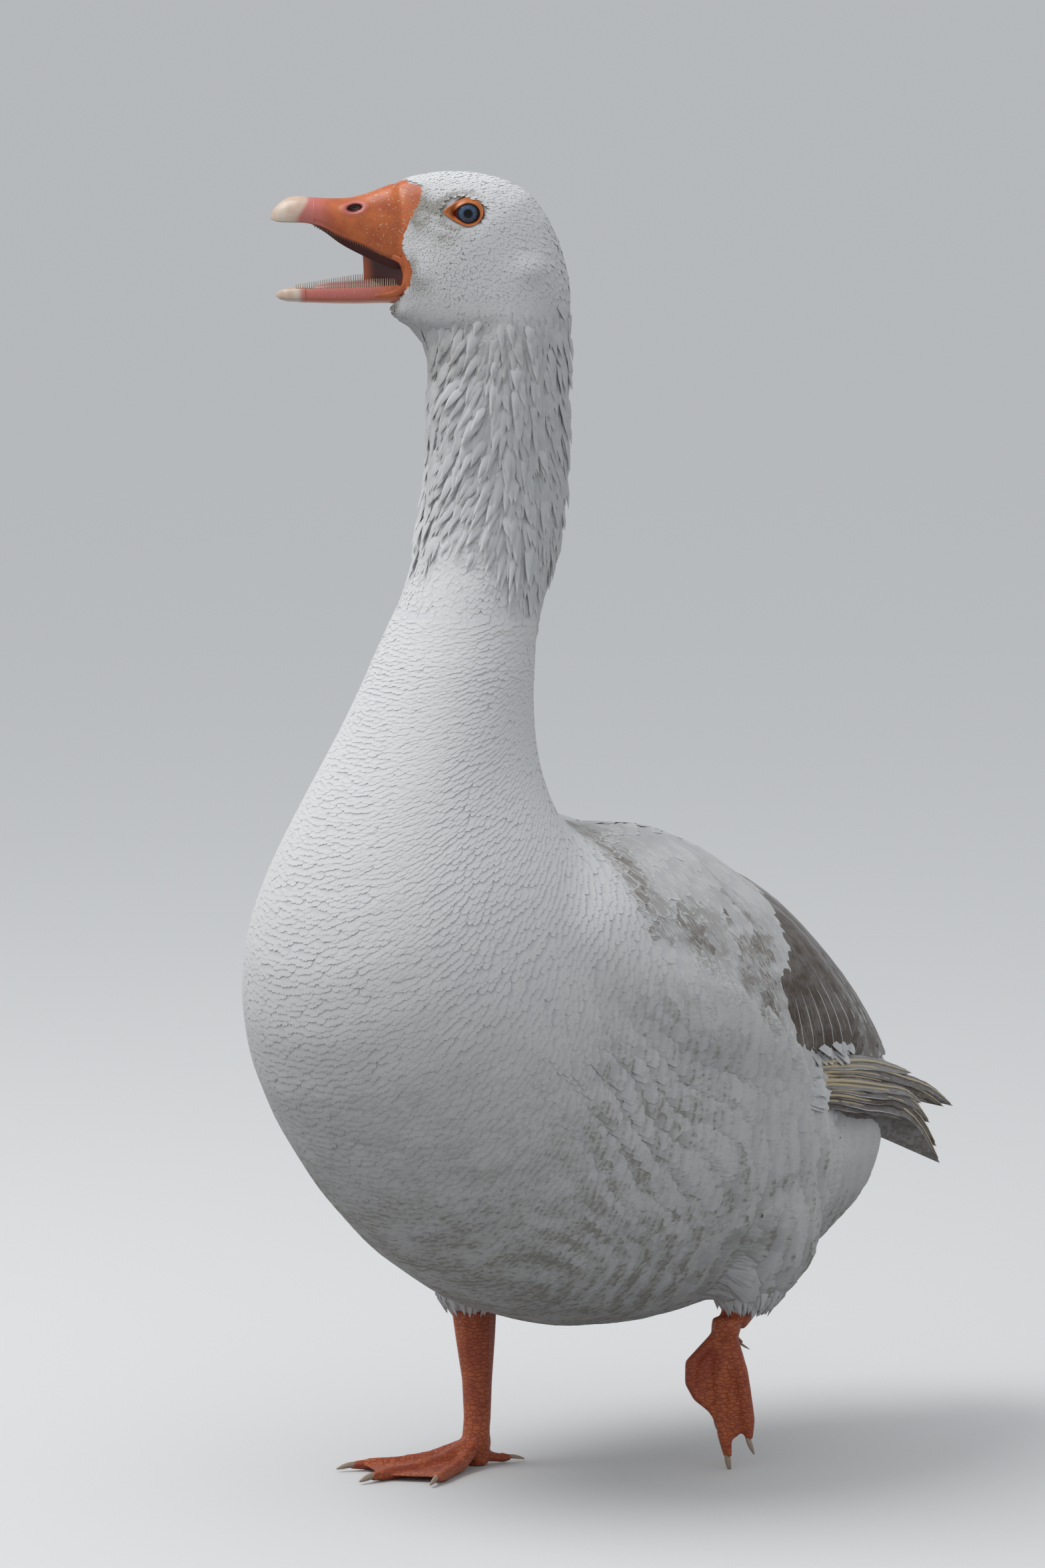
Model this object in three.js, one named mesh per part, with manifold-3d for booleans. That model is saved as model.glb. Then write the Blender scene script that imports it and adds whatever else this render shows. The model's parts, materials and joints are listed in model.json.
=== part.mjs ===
// A domestic goose at life size, standing alert and calling with its bill open.
// Millimetres, +Z up. The goose faces -Y, and its left side is +X.
// The origin is on the floor, under the middle of the whole bird's box.
//
// Trunk, neck and head are one smooth hull, parted into pieces by thin flat cuts.
// Wings, bill, legs and tail are lofted in the same way, from a few named sections,
// and each is let into its neighbour with a small clearance.

import * as THREE from "three";
import { mergeVertices } from "three/addons/utils/BufferGeometryUtils.js";
import Module from "manifold-3d";

const wasm = await Module();
wasm.setup();

// ---------------------------------------------------------------------------
// Driving dimensions
// ---------------------------------------------------------------------------

const GAP = 0.3; // clearance between neighbouring pieces
const CRUMB = 0.02; // facets flatter than this are merged into their neighbours
const HIPS = -44; // Y of the line that "forward" is measured from
const LEFT = 1;
const RIGHT = -1;
const SIDE_NAME = { [LEFT]: "left", [RIGHT]: "right" };

const HEAD_TURN = THREE.MathUtils.degToRad(-45); // the head looks to its right
const TURN_FROM = 470; // height where the neck starts to turn
const TURN_TO = 660; // height above which it is fully turned
const NECK_AXIS = 48; // how far forward the upright neck's axis stands

const EYE = { ahead: 18, height: 761, side: 17.6, radius: 9.5 };
const NAIL_START = 114; // ahead of the neck's axis, on both halves of the bill

const WEB_THICKNESS = 2.2;
const CLAW_LENGTH = 9;
const KNUCKLE = { thick: 8, wide: 9 }; // half sizes of the joint above the toes

// ---------------------------------------------------------------------------
// Tools
// ---------------------------------------------------------------------------

const UP = new THREE.Vector3(0, 0, 1);
const FORWARD = new THREE.Vector3(0, -1, 0);
const ACROSS = new THREE.Vector3(1, 0, 0);

// A point from how far forward, how high and how far to the left it is.
const at = (forward, height, side = 0) => new THREE.Vector3(side, HIPS - forward, height);

// The same, measured from the upright neck's axis, before the head is turned.
const onHead = (ahead, height, side = 0) => at(NECK_AXIS + ahead, height, side);

// A smooth track through a few points, read at a share u of the way along.
function track(points) {
  const curve = new THREE.CatmullRomCurve3(points, false, "centripetal");
  return (u) => curve.getPoint(THREE.MathUtils.clamp(u, 0, 1));
}

// A hull is a surface through named sections. Each gives its top and bottom
// point, its half width, the height of its widest line as a share, its
// squareness (1 is an ellipse, less is boxier) and how far its middle bows out.
function hull(sections, side = ACROSS) {
  const tops = track(sections.map((s) => s.top));
  const bottoms = track(sections.map((s) => s.bottom));
  const forms = track(sections.map((s) => new THREE.Vector3(s.wide, s.widest ?? 0.5, s.square ?? 1)));
  const bows = track(sections.map((s) => new THREE.Vector3(s.bow ?? 0, 0, 0)));
  return (u, angle, grow = 0) => {
    const place = bottoms(u);
    const up = tops(u).sub(place);
    const height = up.length();
    up.normalize();
    const across = side.clone().addScaledVector(up, -side.dot(up)).normalize();
    const { x: wide, y: widest, z: square } = forms(u);
    const soften = (value) => Math.sign(value) * Math.abs(value) ** square;
    const rise = soften(Math.sin(angle));
    const reach = height * (rise > 0 ? 1 - widest : widest) + grow;
    const sideways = soften(Math.cos(angle)) * (wide + grow) + bows(u).x * (1 - rise * rise);
    return place.addScaledVector(up, height * widest + rise * reach).addScaledVector(across, sideways);
  };
}

// Turns whatever is above the base of the neck along with the head.
function turnHead(geometry) {
  const position = geometry.attributes.position;
  const axis = onHead(0, 0);
  const place = new THREE.Vector3();
  for (let i = 0; i < position.count; i++) {
    place.fromBufferAttribute(position, i);
    const turn = HEAD_TURN * THREE.MathUtils.smoothstep(place.z, TURN_FROM, TURN_TO);
    place.sub(axis).applyAxisAngle(UP, turn).add(axis);
    position.setXYZ(i, place.x, place.y, place.z);
  }
  return geometry;
}

// Makes a closed three.js geometry a solid, with its faces pointing out.
function solid(geometry) {
  const bare = new THREE.BufferGeometry().setAttribute("position", geometry.attributes.position);
  const merged = mergeVertices(bare.setIndex(geometry.index), 1e-3);
  const vertProperties = merged.attributes.position.array;
  const triVerts = new Uint32Array(merged.index.array);
  const made = new wasm.Manifold(new wasm.Mesh({ numProp: 3, vertProperties, triVerts }));
  if (made.volume() > 0) return made;
  triVerts.reverse();
  return new wasm.Manifold(new wasm.Mesh({ numProp: 3, vertProperties, triVerts }));
}

// How finely each kind of hull is lofted: rings along it and sides round it.
const FINENESS = {
  body: [37, 22],
  bill: [11, 14],
  tongue: [6, 8],
  wing: [11, 12],
  blade: [7, 8],
  tail: [6, 12],
  thigh: [6, 12],
  shank: [6, 10],
  knuckle: [3, 8],
  toe: [5, 7],
  web: [4, 6],
  claw: [4, 6],
};

// Lofts a hull into a solid with closed ends, grown outwards for a clearance.
function loft(shape, kind, grow = 0) {
  const [rings, sides] = FINENESS[kind];
  const geometry = new THREE.SphereGeometry(1, sides, rings + 1);
  const position = geometry.attributes.position;
  const last = rings - 1;
  const middle = (ring) =>
    shape(ring / last, Math.PI / 2).lerp(shape(ring / last, -Math.PI / 2), 0.5);
  const frontShift = middle(0).sub(middle(1)).setLength(grow);
  const rearShift = middle(last).sub(middle(last - 1)).setLength(grow);
  for (let row = 0; row <= rings + 1; row++) {
    const ring = THREE.MathUtils.clamp(row - 1, 0, last);
    const isPole = row === 0 || row === rings + 1;
    for (let column = 0; column <= sides; column++) {
      const angle = ((column % sides) * 2 * Math.PI) / sides;
      const place = isPole ? middle(ring) : shape(ring / last, angle, grow);
      if (ring === 0) place.add(frontShift);
      if (ring === last) place.add(rearShift);
      position.setXYZ(row * (sides + 1) + column, place.x, place.y, place.z);
    }
  }
  return solid(geometry);
}

const join = (solids) => solids.reduce((whole, next) => whole.add(next));
const cut = (whole, tools) => tools.reduce((left, tool) => left.subtract(tool), whole);

// The largest single body of a solid, so that a cut leaves no loose crumb.
const largest = (body) =>
  body.decompose().reduce((best, next) => (next.volume() > best.volume() ? next : best));

// A flat cut: a point it passes through and the direction it looks in.
const flatCut = (point, normal) => ({ normal: normal.normalize(), offset: point.dot(normal.normalize()) });

// What lies beyond one flat cut and before the next, less half the gap at each.
function between(whole, start, end) {
  let part = whole;
  if (start) part = part.trimByPlane(start.normal.toArray(), start.offset + GAP / 2);
  if (end) part = part.trimByPlane(end.normal.clone().negate().toArray(), GAP / 2 - end.offset);
  return largest(part);
}

const FINISH = {
  plumage: { color: 0xe9e7e2, roughness: 0.85 },
  flight: { color: 0x9a8e83, roughness: 0.75 },
  bill: { color: 0xd96a3a, roughness: 0.5 },
  nail: { color: 0xe6cfae, roughness: 0.45 },
  tongue: { color: 0xd99a94, roughness: 0.4 },
  leg: { color: 0xcf5a33, roughness: 0.6 },
  claw: { color: 0xcdb79c, roughness: 0.5 },
  eye: { color: 0x4b6a94, roughness: 0.05 },
};

const goose = new THREE.Group();

// Adds a finished solid to the goose as a named mesh.
function piece(name, body, finish) {
  const { vertProperties, triVerts } = body.simplify(CRUMB).getMesh();
  const geometry = new THREE.BufferGeometry();
  geometry.setAttribute("position", new THREE.BufferAttribute(vertProperties, 3));
  geometry.setIndex(new THREE.BufferAttribute(triVerts, 1));
  turnHead(geometry).computeVertexNormals();
  const mesh = new THREE.Mesh(geometry, new THREE.MeshStandardMaterial(FINISH[finish]));
  mesh.name = name;
  goose.add(mesh);
}

// ---------------------------------------------------------------------------
// Eyes: whole balls, sunk so that only the front shows between the lids
// ---------------------------------------------------------------------------

function eyeball(hand, grow = 0) {
  const ball = new THREE.SphereGeometry(EYE.radius + grow, 12, 8);
  const { x, y, z } = onHead(EYE.ahead, EYE.height, hand * EYE.side);
  return solid(ball.translate(x, y, z));
}

for (const hand of [LEFT, RIGHT]) piece(`eye_${SIDE_NAME[hand]}`, eyeball(hand), "eye");

// ---------------------------------------------------------------------------
// Bill: an arched upper half, a flat lower half with the tongue in its trough
// ---------------------------------------------------------------------------

const billSection = (ahead, high, low, wide, widest) =>
  ({ top: onHead(ahead, high), bottom: onHead(ahead, low), wide, widest, square: 0.9 });

const UPPER_BILL = hull([
  billSection(44, 769, 725, 15, 0.4),
  billSection(60, 778, 727, 18, 0.3),
  billSection(78, 772.5, 734, 16.5, 0.25),
  billSection(97, 769.5, 745, 14.5, 0.3),
  billSection(113, 770.5, 754.5, 12, 0.35),
  billSection(125, 768.5, 756, 9, 0.4),
  billSection(133, 762.5, 757.5, 4, 0.5),
]);

const LOWER_BILL = hull([
  billSection(44, 721.5, 706, 12, 0.7),
  billSection(62, 720.5, 708, 14.5, 0.75),
  billSection(85, 719, 707.5, 13, 0.75),
  billSection(108, 717, 708, 11, 0.7),
  billSection(124, 714.5, 708.8, 7, 0.6),
  billSection(130.5, 712.5, 710.3, 2.5, 0.5),
]);

const TONGUE = hull([
  billSection(50, 723, 713, 7, 0.5),
  billSection(75, 724, 713, 8, 0.5),
  billSection(100, 720.5, 712.5, 6.5, 0.5),
  billSection(110, 717.5, 713.5, 3, 0.5),
]);

const THROAT = hull([
  billSection(40, 727, 720, 7, 0.5),
  billSection(54, 730, 718, 11, 0.5),
  billSection(58, 732, 717.5, 21, 0.5),
  billSection(70, 738, 714, 26, 0.5),
]);

const PALATE = hull([
  billSection(52, 738, 718, 9, 0.5),
  billSection(80, 744, 724, 12, 0.5),
  billSection(100, 753, 735, 10.5, 0.5),
  billSection(114, 757.5, 745, 7, 0.5),
]);

const upperBill = cut(loft(UPPER_BILL, "bill"), [loft(PALATE, "tongue")]);
const lowerBill = cut(loft(LOWER_BILL, "bill"), [loft(TONGUE, "tongue", GAP)]);
const nailCut = flatCut(onHead(NAIL_START, 0), FORWARD.clone());
piece("bill_upper", between(upperBill, null, nailCut), "bill");
piece("bill_upper_nail", between(upperBill, nailCut, null), "nail");
piece("bill_lower", between(lowerBill, null, nailCut), "bill");
piece("bill_lower_nail", between(lowerBill, nailCut, null), "nail");
piece("tongue", loft(TONGUE, "tongue"), "tongue");

// ---------------------------------------------------------------------------
// Wings: folded along the body, with the flight feathers behind the coverts
// ---------------------------------------------------------------------------

// A section of a folded wing: how far forward it is, the height and side of its
// upper and lower edge, its half thickness and how far its middle bows out.
const wingSection = (hand) => (forward, [high, inner], [low, outer], wide, bow) =>
  ({ top: at(forward, high, hand * inner), bottom: at(forward, low, hand * outer), wide, bow });

function foldedWing(hand) {
  const section = wingSection(hand);
  return hull([
    section(88, [356, 96], [330, 108], 5, 3),
    section(70, [384, 72], [304, 119], 11, 9),
    section(20, [401, 44], [272, 128], 14, 20),
    section(-40, [393, 32], [254, 126], 15, 24),
    section(-100, [366, 26], [240, 116], 14, 23),
    section(-150, [328, 24], [230, 104], 12, 18),
    section(-190, [291, 24], [222, 90], 9, 13),
    section(-220, [256, 28], [220, 74], 4, 7),
  ], ACROSS.clone().multiplyScalar(hand));
}

// One blade of the folded hand feathers, from under the wing to its tip.
function blade(hand, tipHeight, tipForward, lift) {
  const section = wingSection(hand);
  return hull([
    section(-128, [234 + lift, 99], [216 + lift, 98], 3, 0),
    section(-180, [229 + lift, 95], [204 + lift, 93], 5, 2),
    section(-235, [218 + lift / 2, 74], [193 + lift / 2, 68], 4.5, 2),
    section(tipForward + 18, [tipHeight + 11, 56], [tipHeight - 9, 53], 2.5, 1),
    section(tipForward, [tipHeight + 3, 48], [tipHeight - 3, 47], 1, 0),
  ], ACROSS.clone().multiplyScalar(hand));
}

const BLADES = { upper: [193, -303, 12], lower: [163, -294, -10] };
const COVERT_END = -118; // where the coverts end and the long inner feathers show
const wings = [];

for (const hand of [LEFT, RIGHT]) {
  const side = SIDE_NAME[hand];
  const shape = foldedWing(hand);
  const wing = loft(shape, "wing");
  const room = loft(shape, "wing", GAP);
  const covertCut = flatCut(at(COVERT_END, 300), FORWARD.clone().multiplyScalar(-1).addScaledVector(UP, 0.5));
  piece(`wing_${side}`, between(wing, null, covertCut), "flight");
  piece(`inner_feathers_${side}`, between(wing, covertCut, null), "flight");
  wings.push(room);
  for (const [level, [tipHeight, tipForward, lift]] of Object.entries(BLADES)) {
    const bladeShape = blade(hand, tipHeight, tipForward, lift);
    const free = cut(loft(bladeShape, "blade"), wings);
    piece(`primaries_${level}_${side}`, largest(free), "flight");
    wings.push(loft(bladeShape, "blade", GAP));
  }
}

// ---------------------------------------------------------------------------
// Tail: a short fan, thin at its tip
// ---------------------------------------------------------------------------

const TAIL = hull([
  { top: at(-205, 232), bottom: at(-205, 192), wide: 20 },
  { top: at(-236, 224), bottom: at(-236, 194), wide: 31 },
  { top: at(-265, 213), bottom: at(-265, 199), wide: 38 },
  { top: at(-290, 205), bottom: at(-290, 199.5), wide: 34 },
  { top: at(-300, 202.5), bottom: at(-300, 200), wide: 20 },
]);

const tail = largest(cut(loft(TAIL, "tail"), wings));
piece("tail", tail, "flight");

// ---------------------------------------------------------------------------
// Legs: feathered thighs, bare shanks and webbed feet. The right foot stands
// flat. The left is drawn up, with its toes hanging and one tip on the floor.
// ---------------------------------------------------------------------------

// A limb follows its stations, which are [place, half depth, half width].
const limb = (stations, upward) =>
  hull(stations.map(([place, thick, wide]) => ({
    top: place.clone().addScaledVector(upward, thick),
    bottom: place.clone().addScaledVector(upward, -thick),
    wide,
  })));

const RIGHT_HOCK = at(16, 92, -54);
const RIGHT_KNUCKLE = at(22, 14, -46);
const LEFT_HOCK = at(-138, 130, 66);
const LEFT_KNUCKLE = at(-76, 86, 70);

const THIGHS = {
  right: limb([
    [at(-20, 200, -62), 52, 40],
    [at(0, 160, -60), 42, 34],
    [at(14, 126, -57), 27, 24],
    [at(16, 106, -55), 17, 16],
  ], FORWARD),
  left: limb([
    [at(-60, 205, 66), 56, 44],
    [at(-84, 165, 70), 52, 42],
    [at(-98, 128, 72), 36, 30],
    [at(-90, 102, 72), 16, 15],
  ], FORWARD),
};

const SHANKS = {
  right: limb([
    [at(15, 116, -55), 12, 11],
    [RIGHT_HOCK, 15.5, 13.5],
    [at(17, 66, -51), 11, 10],
    [at(20, 32, -47), 8.5, 8.5],
    [at(22, 21, -46), 8, 9],
  ], FORWARD),
  left: limb([
    [LEFT_HOCK, 14, 13],
    [at(-118, 117, 67), 11.5, 10.5],
    [at(-96, 101, 69), 10, 9.5],
    [at(-82, 91, 70), 9.5, 9.5],
  ], FORWARD.clone().addScaledVector(UP, 1.2).normalize()),
};

// Each foot: its knuckle, how far its pad reaches below that, the upper side of
// its toes, and each toe's tip and radius, with how far its middle is bent out
// of line in X and Y.
const FEET = {
  right: {
    knuckle: RIGHT_KNUCKLE,
    pad: RIGHT_KNUCKLE.z + 1,
    upward: UP,
    toes: {
      inner: [at(84, 3.6, -18), 4.6],
      middle: [at(106, 3.7, -51), 5.2],
      outer: [at(90, 3.7, -85), 4.8],
      hind: [at(1, 3.2, -37), 3.6],
    },
  },
  left: {
    knuckle: LEFT_KNUCKLE,
    pad: 8,
    upward: FORWARD,
    toes: {
      inner: [at(-72, 33, 66), 4.6, [-13, -14]],
      middle: [at(-76, 7, 72), 5.2, [-2, -3]],
      outer: [at(-84, 18, 82), 4.8, [3, 2]],
      hind: [at(-94, 74, 66), 3.6],
    },
  },
};

const FLOOR = flatCut(at(0, 0), UP.clone());
const onFloor = (body) => largest(body.trimByPlane(FLOOR.normal.toArray(), FLOOR.offset));

// A toe has a low swelling at each of its joints.
const JOINT_SHARES = [0, 0.3, 0.4, 0.62, 0.72, 0.9, 1];
const JOINT_SWELL = [1.25, 1, 1.12, 0.86, 0.98, 0.78, 0.55];

// The place at a share of the way along a toe, which on a standing foot drops
// from the knuckle and then runs level.
function alongToe(knuckle, [tip, , bend = [0, 0]], upward, share) {
  const place = knuckle.clone().lerp(tip, share);
  const bulge = 4 * share * (1 - share);
  place.x += bend[0] * bulge;
  place.y += bend[1] * bulge;
  if (upward === UP) place.z = tip.z + (1 - share) ** 4 * (knuckle.z - tip.z);
  return place;
}

function toe(knuckle, spec, upward) {
  const [, radius] = spec;
  return limb(JOINT_SHARES.map((share, i) => {
    const place = alongToe(knuckle, spec, upward, 0.04 + 0.96 * share);
    return [place, radius * JOINT_SWELL[i], radius * JOINT_SWELL[i]];
  }), upward);
}

// The web spans two toes, from the knuckle to just short of their tips.
function web(knuckle, specA, specB, upward) {
  return hull([0.12, 0.5, 0.9].map((share) => ({
    top: alongToe(knuckle, specA, upward, share),
    bottom: alongToe(knuckle, specB, upward, share),
    wide: WEB_THICKNESS / 2,
  })), upward);
}

// A claw carries a toe on past its tip, bending down to a blunt point.
function claw(knuckle, [tip, radius], upward) {
  const ahead = tip.clone().sub(knuckle);
  if (upward === UP) ahead.z = 0;
  ahead.normalize();
  const station = (run, drop, size) => {
    const place = tip.clone().addScaledVector(ahead, run).addScaledVector(upward, -drop);
    return [place, size, size * 0.9];
  };
  return limb([
    station(-2, -0.6, radius * 0.42),
    station(CLAW_LENGTH * 0.4, 0.2, radius * 0.4),
    station(CLAW_LENGTH, 1.8, radius * 0.14),
  ], upward);
}

const legRooms = [];

for (const [side, { knuckle, pad, upward, toes }] of Object.entries(FEET)) {
  const claws = Object.entries(toes).map(([name, spec]) => [name, claw(knuckle, spec, upward)]);
  const shank = loft(SHANKS[side], "shank");
  const shankRoom = loft(SHANKS[side], "shank", GAP);
  const ball = loft(limb([
    [knuckle.clone().addScaledVector(UP, 7), KNUCKLE.thick, KNUCKLE.wide],
    [knuckle, KNUCKLE.thick * 1.1, KNUCKLE.wide * 1.1],
    [knuckle.clone().addScaledVector(UP, -pad), KNUCKLE.thick * 0.8, KNUCKLE.wide * 0.8],
  ], FORWARD), "knuckle");
  const toeSolids = Object.values(toes).map((spec) => loft(toe(knuckle, spec, upward), "toe"));
  const webs = [web(knuckle, toes.inner, toes.middle, upward), web(knuckle, toes.middle, toes.outer, upward)];
  const webSolids = webs.map((shape) => loft(shape, "web"));
  const clawRooms = claws.map(([, shape]) => loft(shape, "claw", GAP));
  const foot = cut(join([ball, ...toeSolids, ...webSolids]), [shankRoom, ...clawRooms]);
  piece(`foot_${side}`, onFloor(foot), "leg");
  for (const [name, shape] of claws) {
    piece(`claw_${name}_${side}`, onFloor(loft(shape, "claw")), "claw");
  }
  piece(`shank_${side}`, shank, "leg");
  legRooms.push(shankRoom);
}

for (const [side, shape] of Object.entries(THIGHS)) {
  const thigh = cut(loft(shape, "thigh"), [...legRooms, ...wings]);
  piece(`thigh_${side}`, largest(thigh), "plumage");
  legRooms.push(loft(shape, "thigh", GAP));
}

// ---------------------------------------------------------------------------
// Trunk, neck and head
// ---------------------------------------------------------------------------

const bodySection = ([backForward, backHeight], [frontForward, frontHeight], wide, widest = 0.5) =>
  ({ top: at(backForward, backHeight), bottom: at(frontForward, frontHeight), wide, widest, square: 0.94 });

const BODY = hull([
  bodySection([-244, 226], [-243, 186], 26),
  bodySection([-222, 260], [-224, 142], 66),
  bodySection([-165, 313], [-170, 108], 98),
  bodySection([-100, 357], [-103, 94], 116),
  bodySection([-40, 385], [-38, 88], 125),
  bodySection([8, 401], [42, 98], 126),
  bodySection([32, 408], [109, 134], 121),
  bodySection([43, 413], [164, 188], 115),
  bodySection([47, 421], [202, 246], 106),
  bodySection([48, 431], [217, 304], 93),
  bodySection([48, 446], [208, 355], 78),
  bodySection([46, 468], [187, 402], 63),
  bodySection([41, 494], [158, 449], 53),
  bodySection([30, 524], [127, 503], 45),
  bodySection([16, 560], [102, 552], 40),
  bodySection([6, 602], [91, 598], 37),
  bodySection([5, 648], [90, 645], 36),
  bodySection([4, 686], [89, 676], 34),
  bodySection([6, 722], [99, 690], 32),
  bodySection([15, 751], [107, 699], 31, 0.45),
  bodySection([30, 774], [110, 704], 30, 0.45),
  bodySection([54, 784], [111, 706], 27.5, 0.45),
  bodySection([82, 786], [110, 707], 23, 0.45),
  bodySection([105, 781.5], [111.5, 708], 18, 0.45),
  bodySection([112, 778], [112, 709], 15, 0.45),
]);

const billRooms = [
  loft(UPPER_BILL, "bill", GAP),
  loft(LOWER_BILL, "bill", GAP),
  loft(TONGUE, "tongue", GAP),
  loft(THROAT, "tongue"),
  eyeball(LEFT, GAP),
  eyeball(RIGHT, GAP),
];

const whole = cut(loft(BODY, "body"), [...wings, ...legRooms, loft(TAIL, "tail", GAP), ...billRooms]);

const FORWARD_UP = (tilt) => UP.clone().addScaledVector(FORWARD, tilt);
const CUTS = {
  tail: flatCut(at(-170, 220), FORWARD.clone()),
  waist: flatCut(at(20, 250), FORWARD.clone().addScaledVector(UP, 0.15)),
  breast: flatCut(at(120, 428), FORWARD_UP(0.25)),
  lower: flatCut(at(90, 505), UP.clone()),
  upper: flatCut(at(50, 600), UP.clone()),
  head: flatCut(at(50, 690), FORWARD_UP(0.3)),
};

piece("rump", between(whole, null, CUTS.tail), "plumage");
piece("trunk", between(between(whole, CUTS.tail, CUTS.waist), null, CUTS.breast), "plumage");
piece("breast", between(between(whole, CUTS.waist, null), null, CUTS.breast), "plumage");
piece("neck_lower", between(whole, CUTS.breast, CUTS.lower), "plumage");
piece("neck_middle", between(whole, CUTS.lower, CUTS.upper), "plumage");
piece("neck_upper", between(whole, CUTS.upper, CUTS.head), "plumage");
piece("head", between(whole, CUTS.head, null), "plumage");

export default goose;
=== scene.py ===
# %% [markdown]
# # A white farmyard goose, standing and calling
#
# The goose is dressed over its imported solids. One smooth skin is grown from the
# solids of flesh, the feathers are laid over it in rows from the bill to the
# tail, and the bill, eyes, legs and claws are finished as pieces of their own.
# Sizes are thought out in millimetres and turned to metres when a mesh is made.

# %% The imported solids, and the tools that everything below uses
import math

import bpy
import numpy as np
from mathutils.bvhtree import BVHTree
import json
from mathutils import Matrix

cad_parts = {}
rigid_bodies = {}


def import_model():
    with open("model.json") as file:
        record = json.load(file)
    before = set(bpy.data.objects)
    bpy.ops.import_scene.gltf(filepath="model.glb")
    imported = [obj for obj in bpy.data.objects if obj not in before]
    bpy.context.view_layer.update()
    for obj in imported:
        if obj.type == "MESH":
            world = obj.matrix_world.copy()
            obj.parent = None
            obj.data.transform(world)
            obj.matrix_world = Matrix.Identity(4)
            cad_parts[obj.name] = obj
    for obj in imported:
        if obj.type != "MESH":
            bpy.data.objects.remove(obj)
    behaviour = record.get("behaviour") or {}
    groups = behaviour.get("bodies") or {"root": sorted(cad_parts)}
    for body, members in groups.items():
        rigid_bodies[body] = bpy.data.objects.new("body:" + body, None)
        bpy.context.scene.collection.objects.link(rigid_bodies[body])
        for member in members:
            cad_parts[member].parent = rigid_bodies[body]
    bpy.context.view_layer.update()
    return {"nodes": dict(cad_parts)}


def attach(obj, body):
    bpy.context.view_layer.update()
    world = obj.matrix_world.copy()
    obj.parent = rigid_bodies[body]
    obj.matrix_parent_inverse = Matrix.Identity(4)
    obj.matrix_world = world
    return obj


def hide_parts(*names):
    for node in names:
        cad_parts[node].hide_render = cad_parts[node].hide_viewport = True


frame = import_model()

MM = 0.001
HIPS = -44.0  # Y of the line that "forward" is measured from
NECK_AXIS = 48.0  # how far forward the upright neck stands
HEAD_TURN = math.radians(-45)  # the head looks to its right
TURN_FROM = 470.0  # height where the neck starts to turn
TURN_TO = 660.0  # height above which it is fully turned
LEFT = 1
RIGHT = -1
SIDE_NAME = {LEFT: "left", RIGHT: "right"}

dice = np.random.default_rng(12)

# %% [markdown]
# ## Small helpers
#
# `at` turns "so far forward, so high, so far to the left" into a place, and
# `on_head` does the same from the neck's axis, turned as the head is turned.
# Most masks are made with `smoothstep`, which goes gently from 0 to 1.


# %% Places and masks
def smoothstep(value, low, high):
    share = np.clip((value - low) / (high - low), 0, 1)
    return share * share * (3 - 2 * share)


def bell(value, middle, reach):
    return np.exp(-(((value - middle) / reach) ** 2))


def at(forward, height, side=0):
    return np.array((side, HIPS - forward, height))


def body_place(points):
    """How far forward, how high and how far left points are."""
    x, y, z = np.moveaxis(points, -1, 0)
    return HIPS - y, z, x


def turn_of(height):
    return HEAD_TURN * smoothstep(height, TURN_FROM, TURN_TO)


def turned(points, angle):
    """Points, or directions, turned about the vertical by an angle."""
    cos, sin = np.cos(angle), np.sin(angle)
    x, y, z = np.moveaxis(np.asarray(points, dtype=float), -1, 0)
    return np.stack((x * cos - y * sin, x * sin + y * cos, z + 0 * x), axis=-1)


def on_head(ahead, height, side=0):
    place = turned((side, -ahead, height), HEAD_TURN)
    return place + np.array((0, HIPS - NECK_AXIS, 0))


def head_place(points):
    """How far ahead of the neck's axis, how high and how far left points are."""
    shifted = points - np.array((0, HIPS - NECK_AXIS, 0))
    straight = turned(shifted, -HEAD_TURN)
    return -straight[..., 1], straight[..., 2], straight[..., 0]


# %% [markdown]
# An operator works on all that is selected, so everything is let go before a
# piece is picked up. A copy of a solid comes as loose triangles, and its
# doubled corners are merged before anything else is done to it.


# %% Picking up, copying and changing a mesh
def deselect():
    bpy.ops.object.select_all(action="DESELECT")


def activate(thing):
    deselect()
    thing.select_set(True)
    bpy.context.view_layer.objects.active = thing


def apply_modifier(thing, kind, **settings):
    activate(thing)
    modifier = thing.modifiers.new(kind.lower(), kind)
    for name, value in settings.items():
        setattr(modifier, name, value)
    bpy.ops.object.modifier_apply(modifier=modifier.name)


def edit_all(thing, operator, **settings):
    """Uses an operator of edit mode on the whole of a mesh."""
    activate(thing)
    bpy.ops.object.mode_set(mode="EDIT")
    bpy.ops.mesh.select_all(action="SELECT")
    operator(**settings)
    bpy.ops.object.mode_set(mode="OBJECT")


def new_object(title, data):
    thing = bpy.data.objects.new(title, data)
    bpy.context.collection.objects.link(thing)
    return thing


def copy_of(title, nodes):
    """The named solids as one new merged object."""
    deselect()
    for name in nodes:
        copy = new_object(title, frame["nodes"][name].data.copy())
        copy.select_set(True)
        bpy.context.view_layer.objects.active = copy
    if len(nodes) > 1:
        bpy.ops.object.join()
    whole = bpy.context.view_layer.objects.active
    whole.name = title
    whole.data.name = title
    whole.data.materials.clear()
    edit_all(whole, bpy.ops.mesh.remove_doubles, threshold=0.02 * MM)
    return whole


def places_of(thing):
    """The vertices of a mesh object, in millimetres."""
    places = np.empty(len(thing.data.vertices) * 3)
    thing.data.vertices.foreach_get("co", places)
    return places.reshape(-1, 3) / MM


def normals_of(thing):
    normals = np.empty(len(thing.data.vertices) * 3)
    thing.data.vertex_normals.foreach_get("vector", normals)
    return normals.reshape(-1, 3)


def set_places(thing, places):
    thing.data.vertices.foreach_set("co", (places * MM).ravel())
    thing.data.update()


print("solids to dress:", len(frame["nodes"]))

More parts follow.
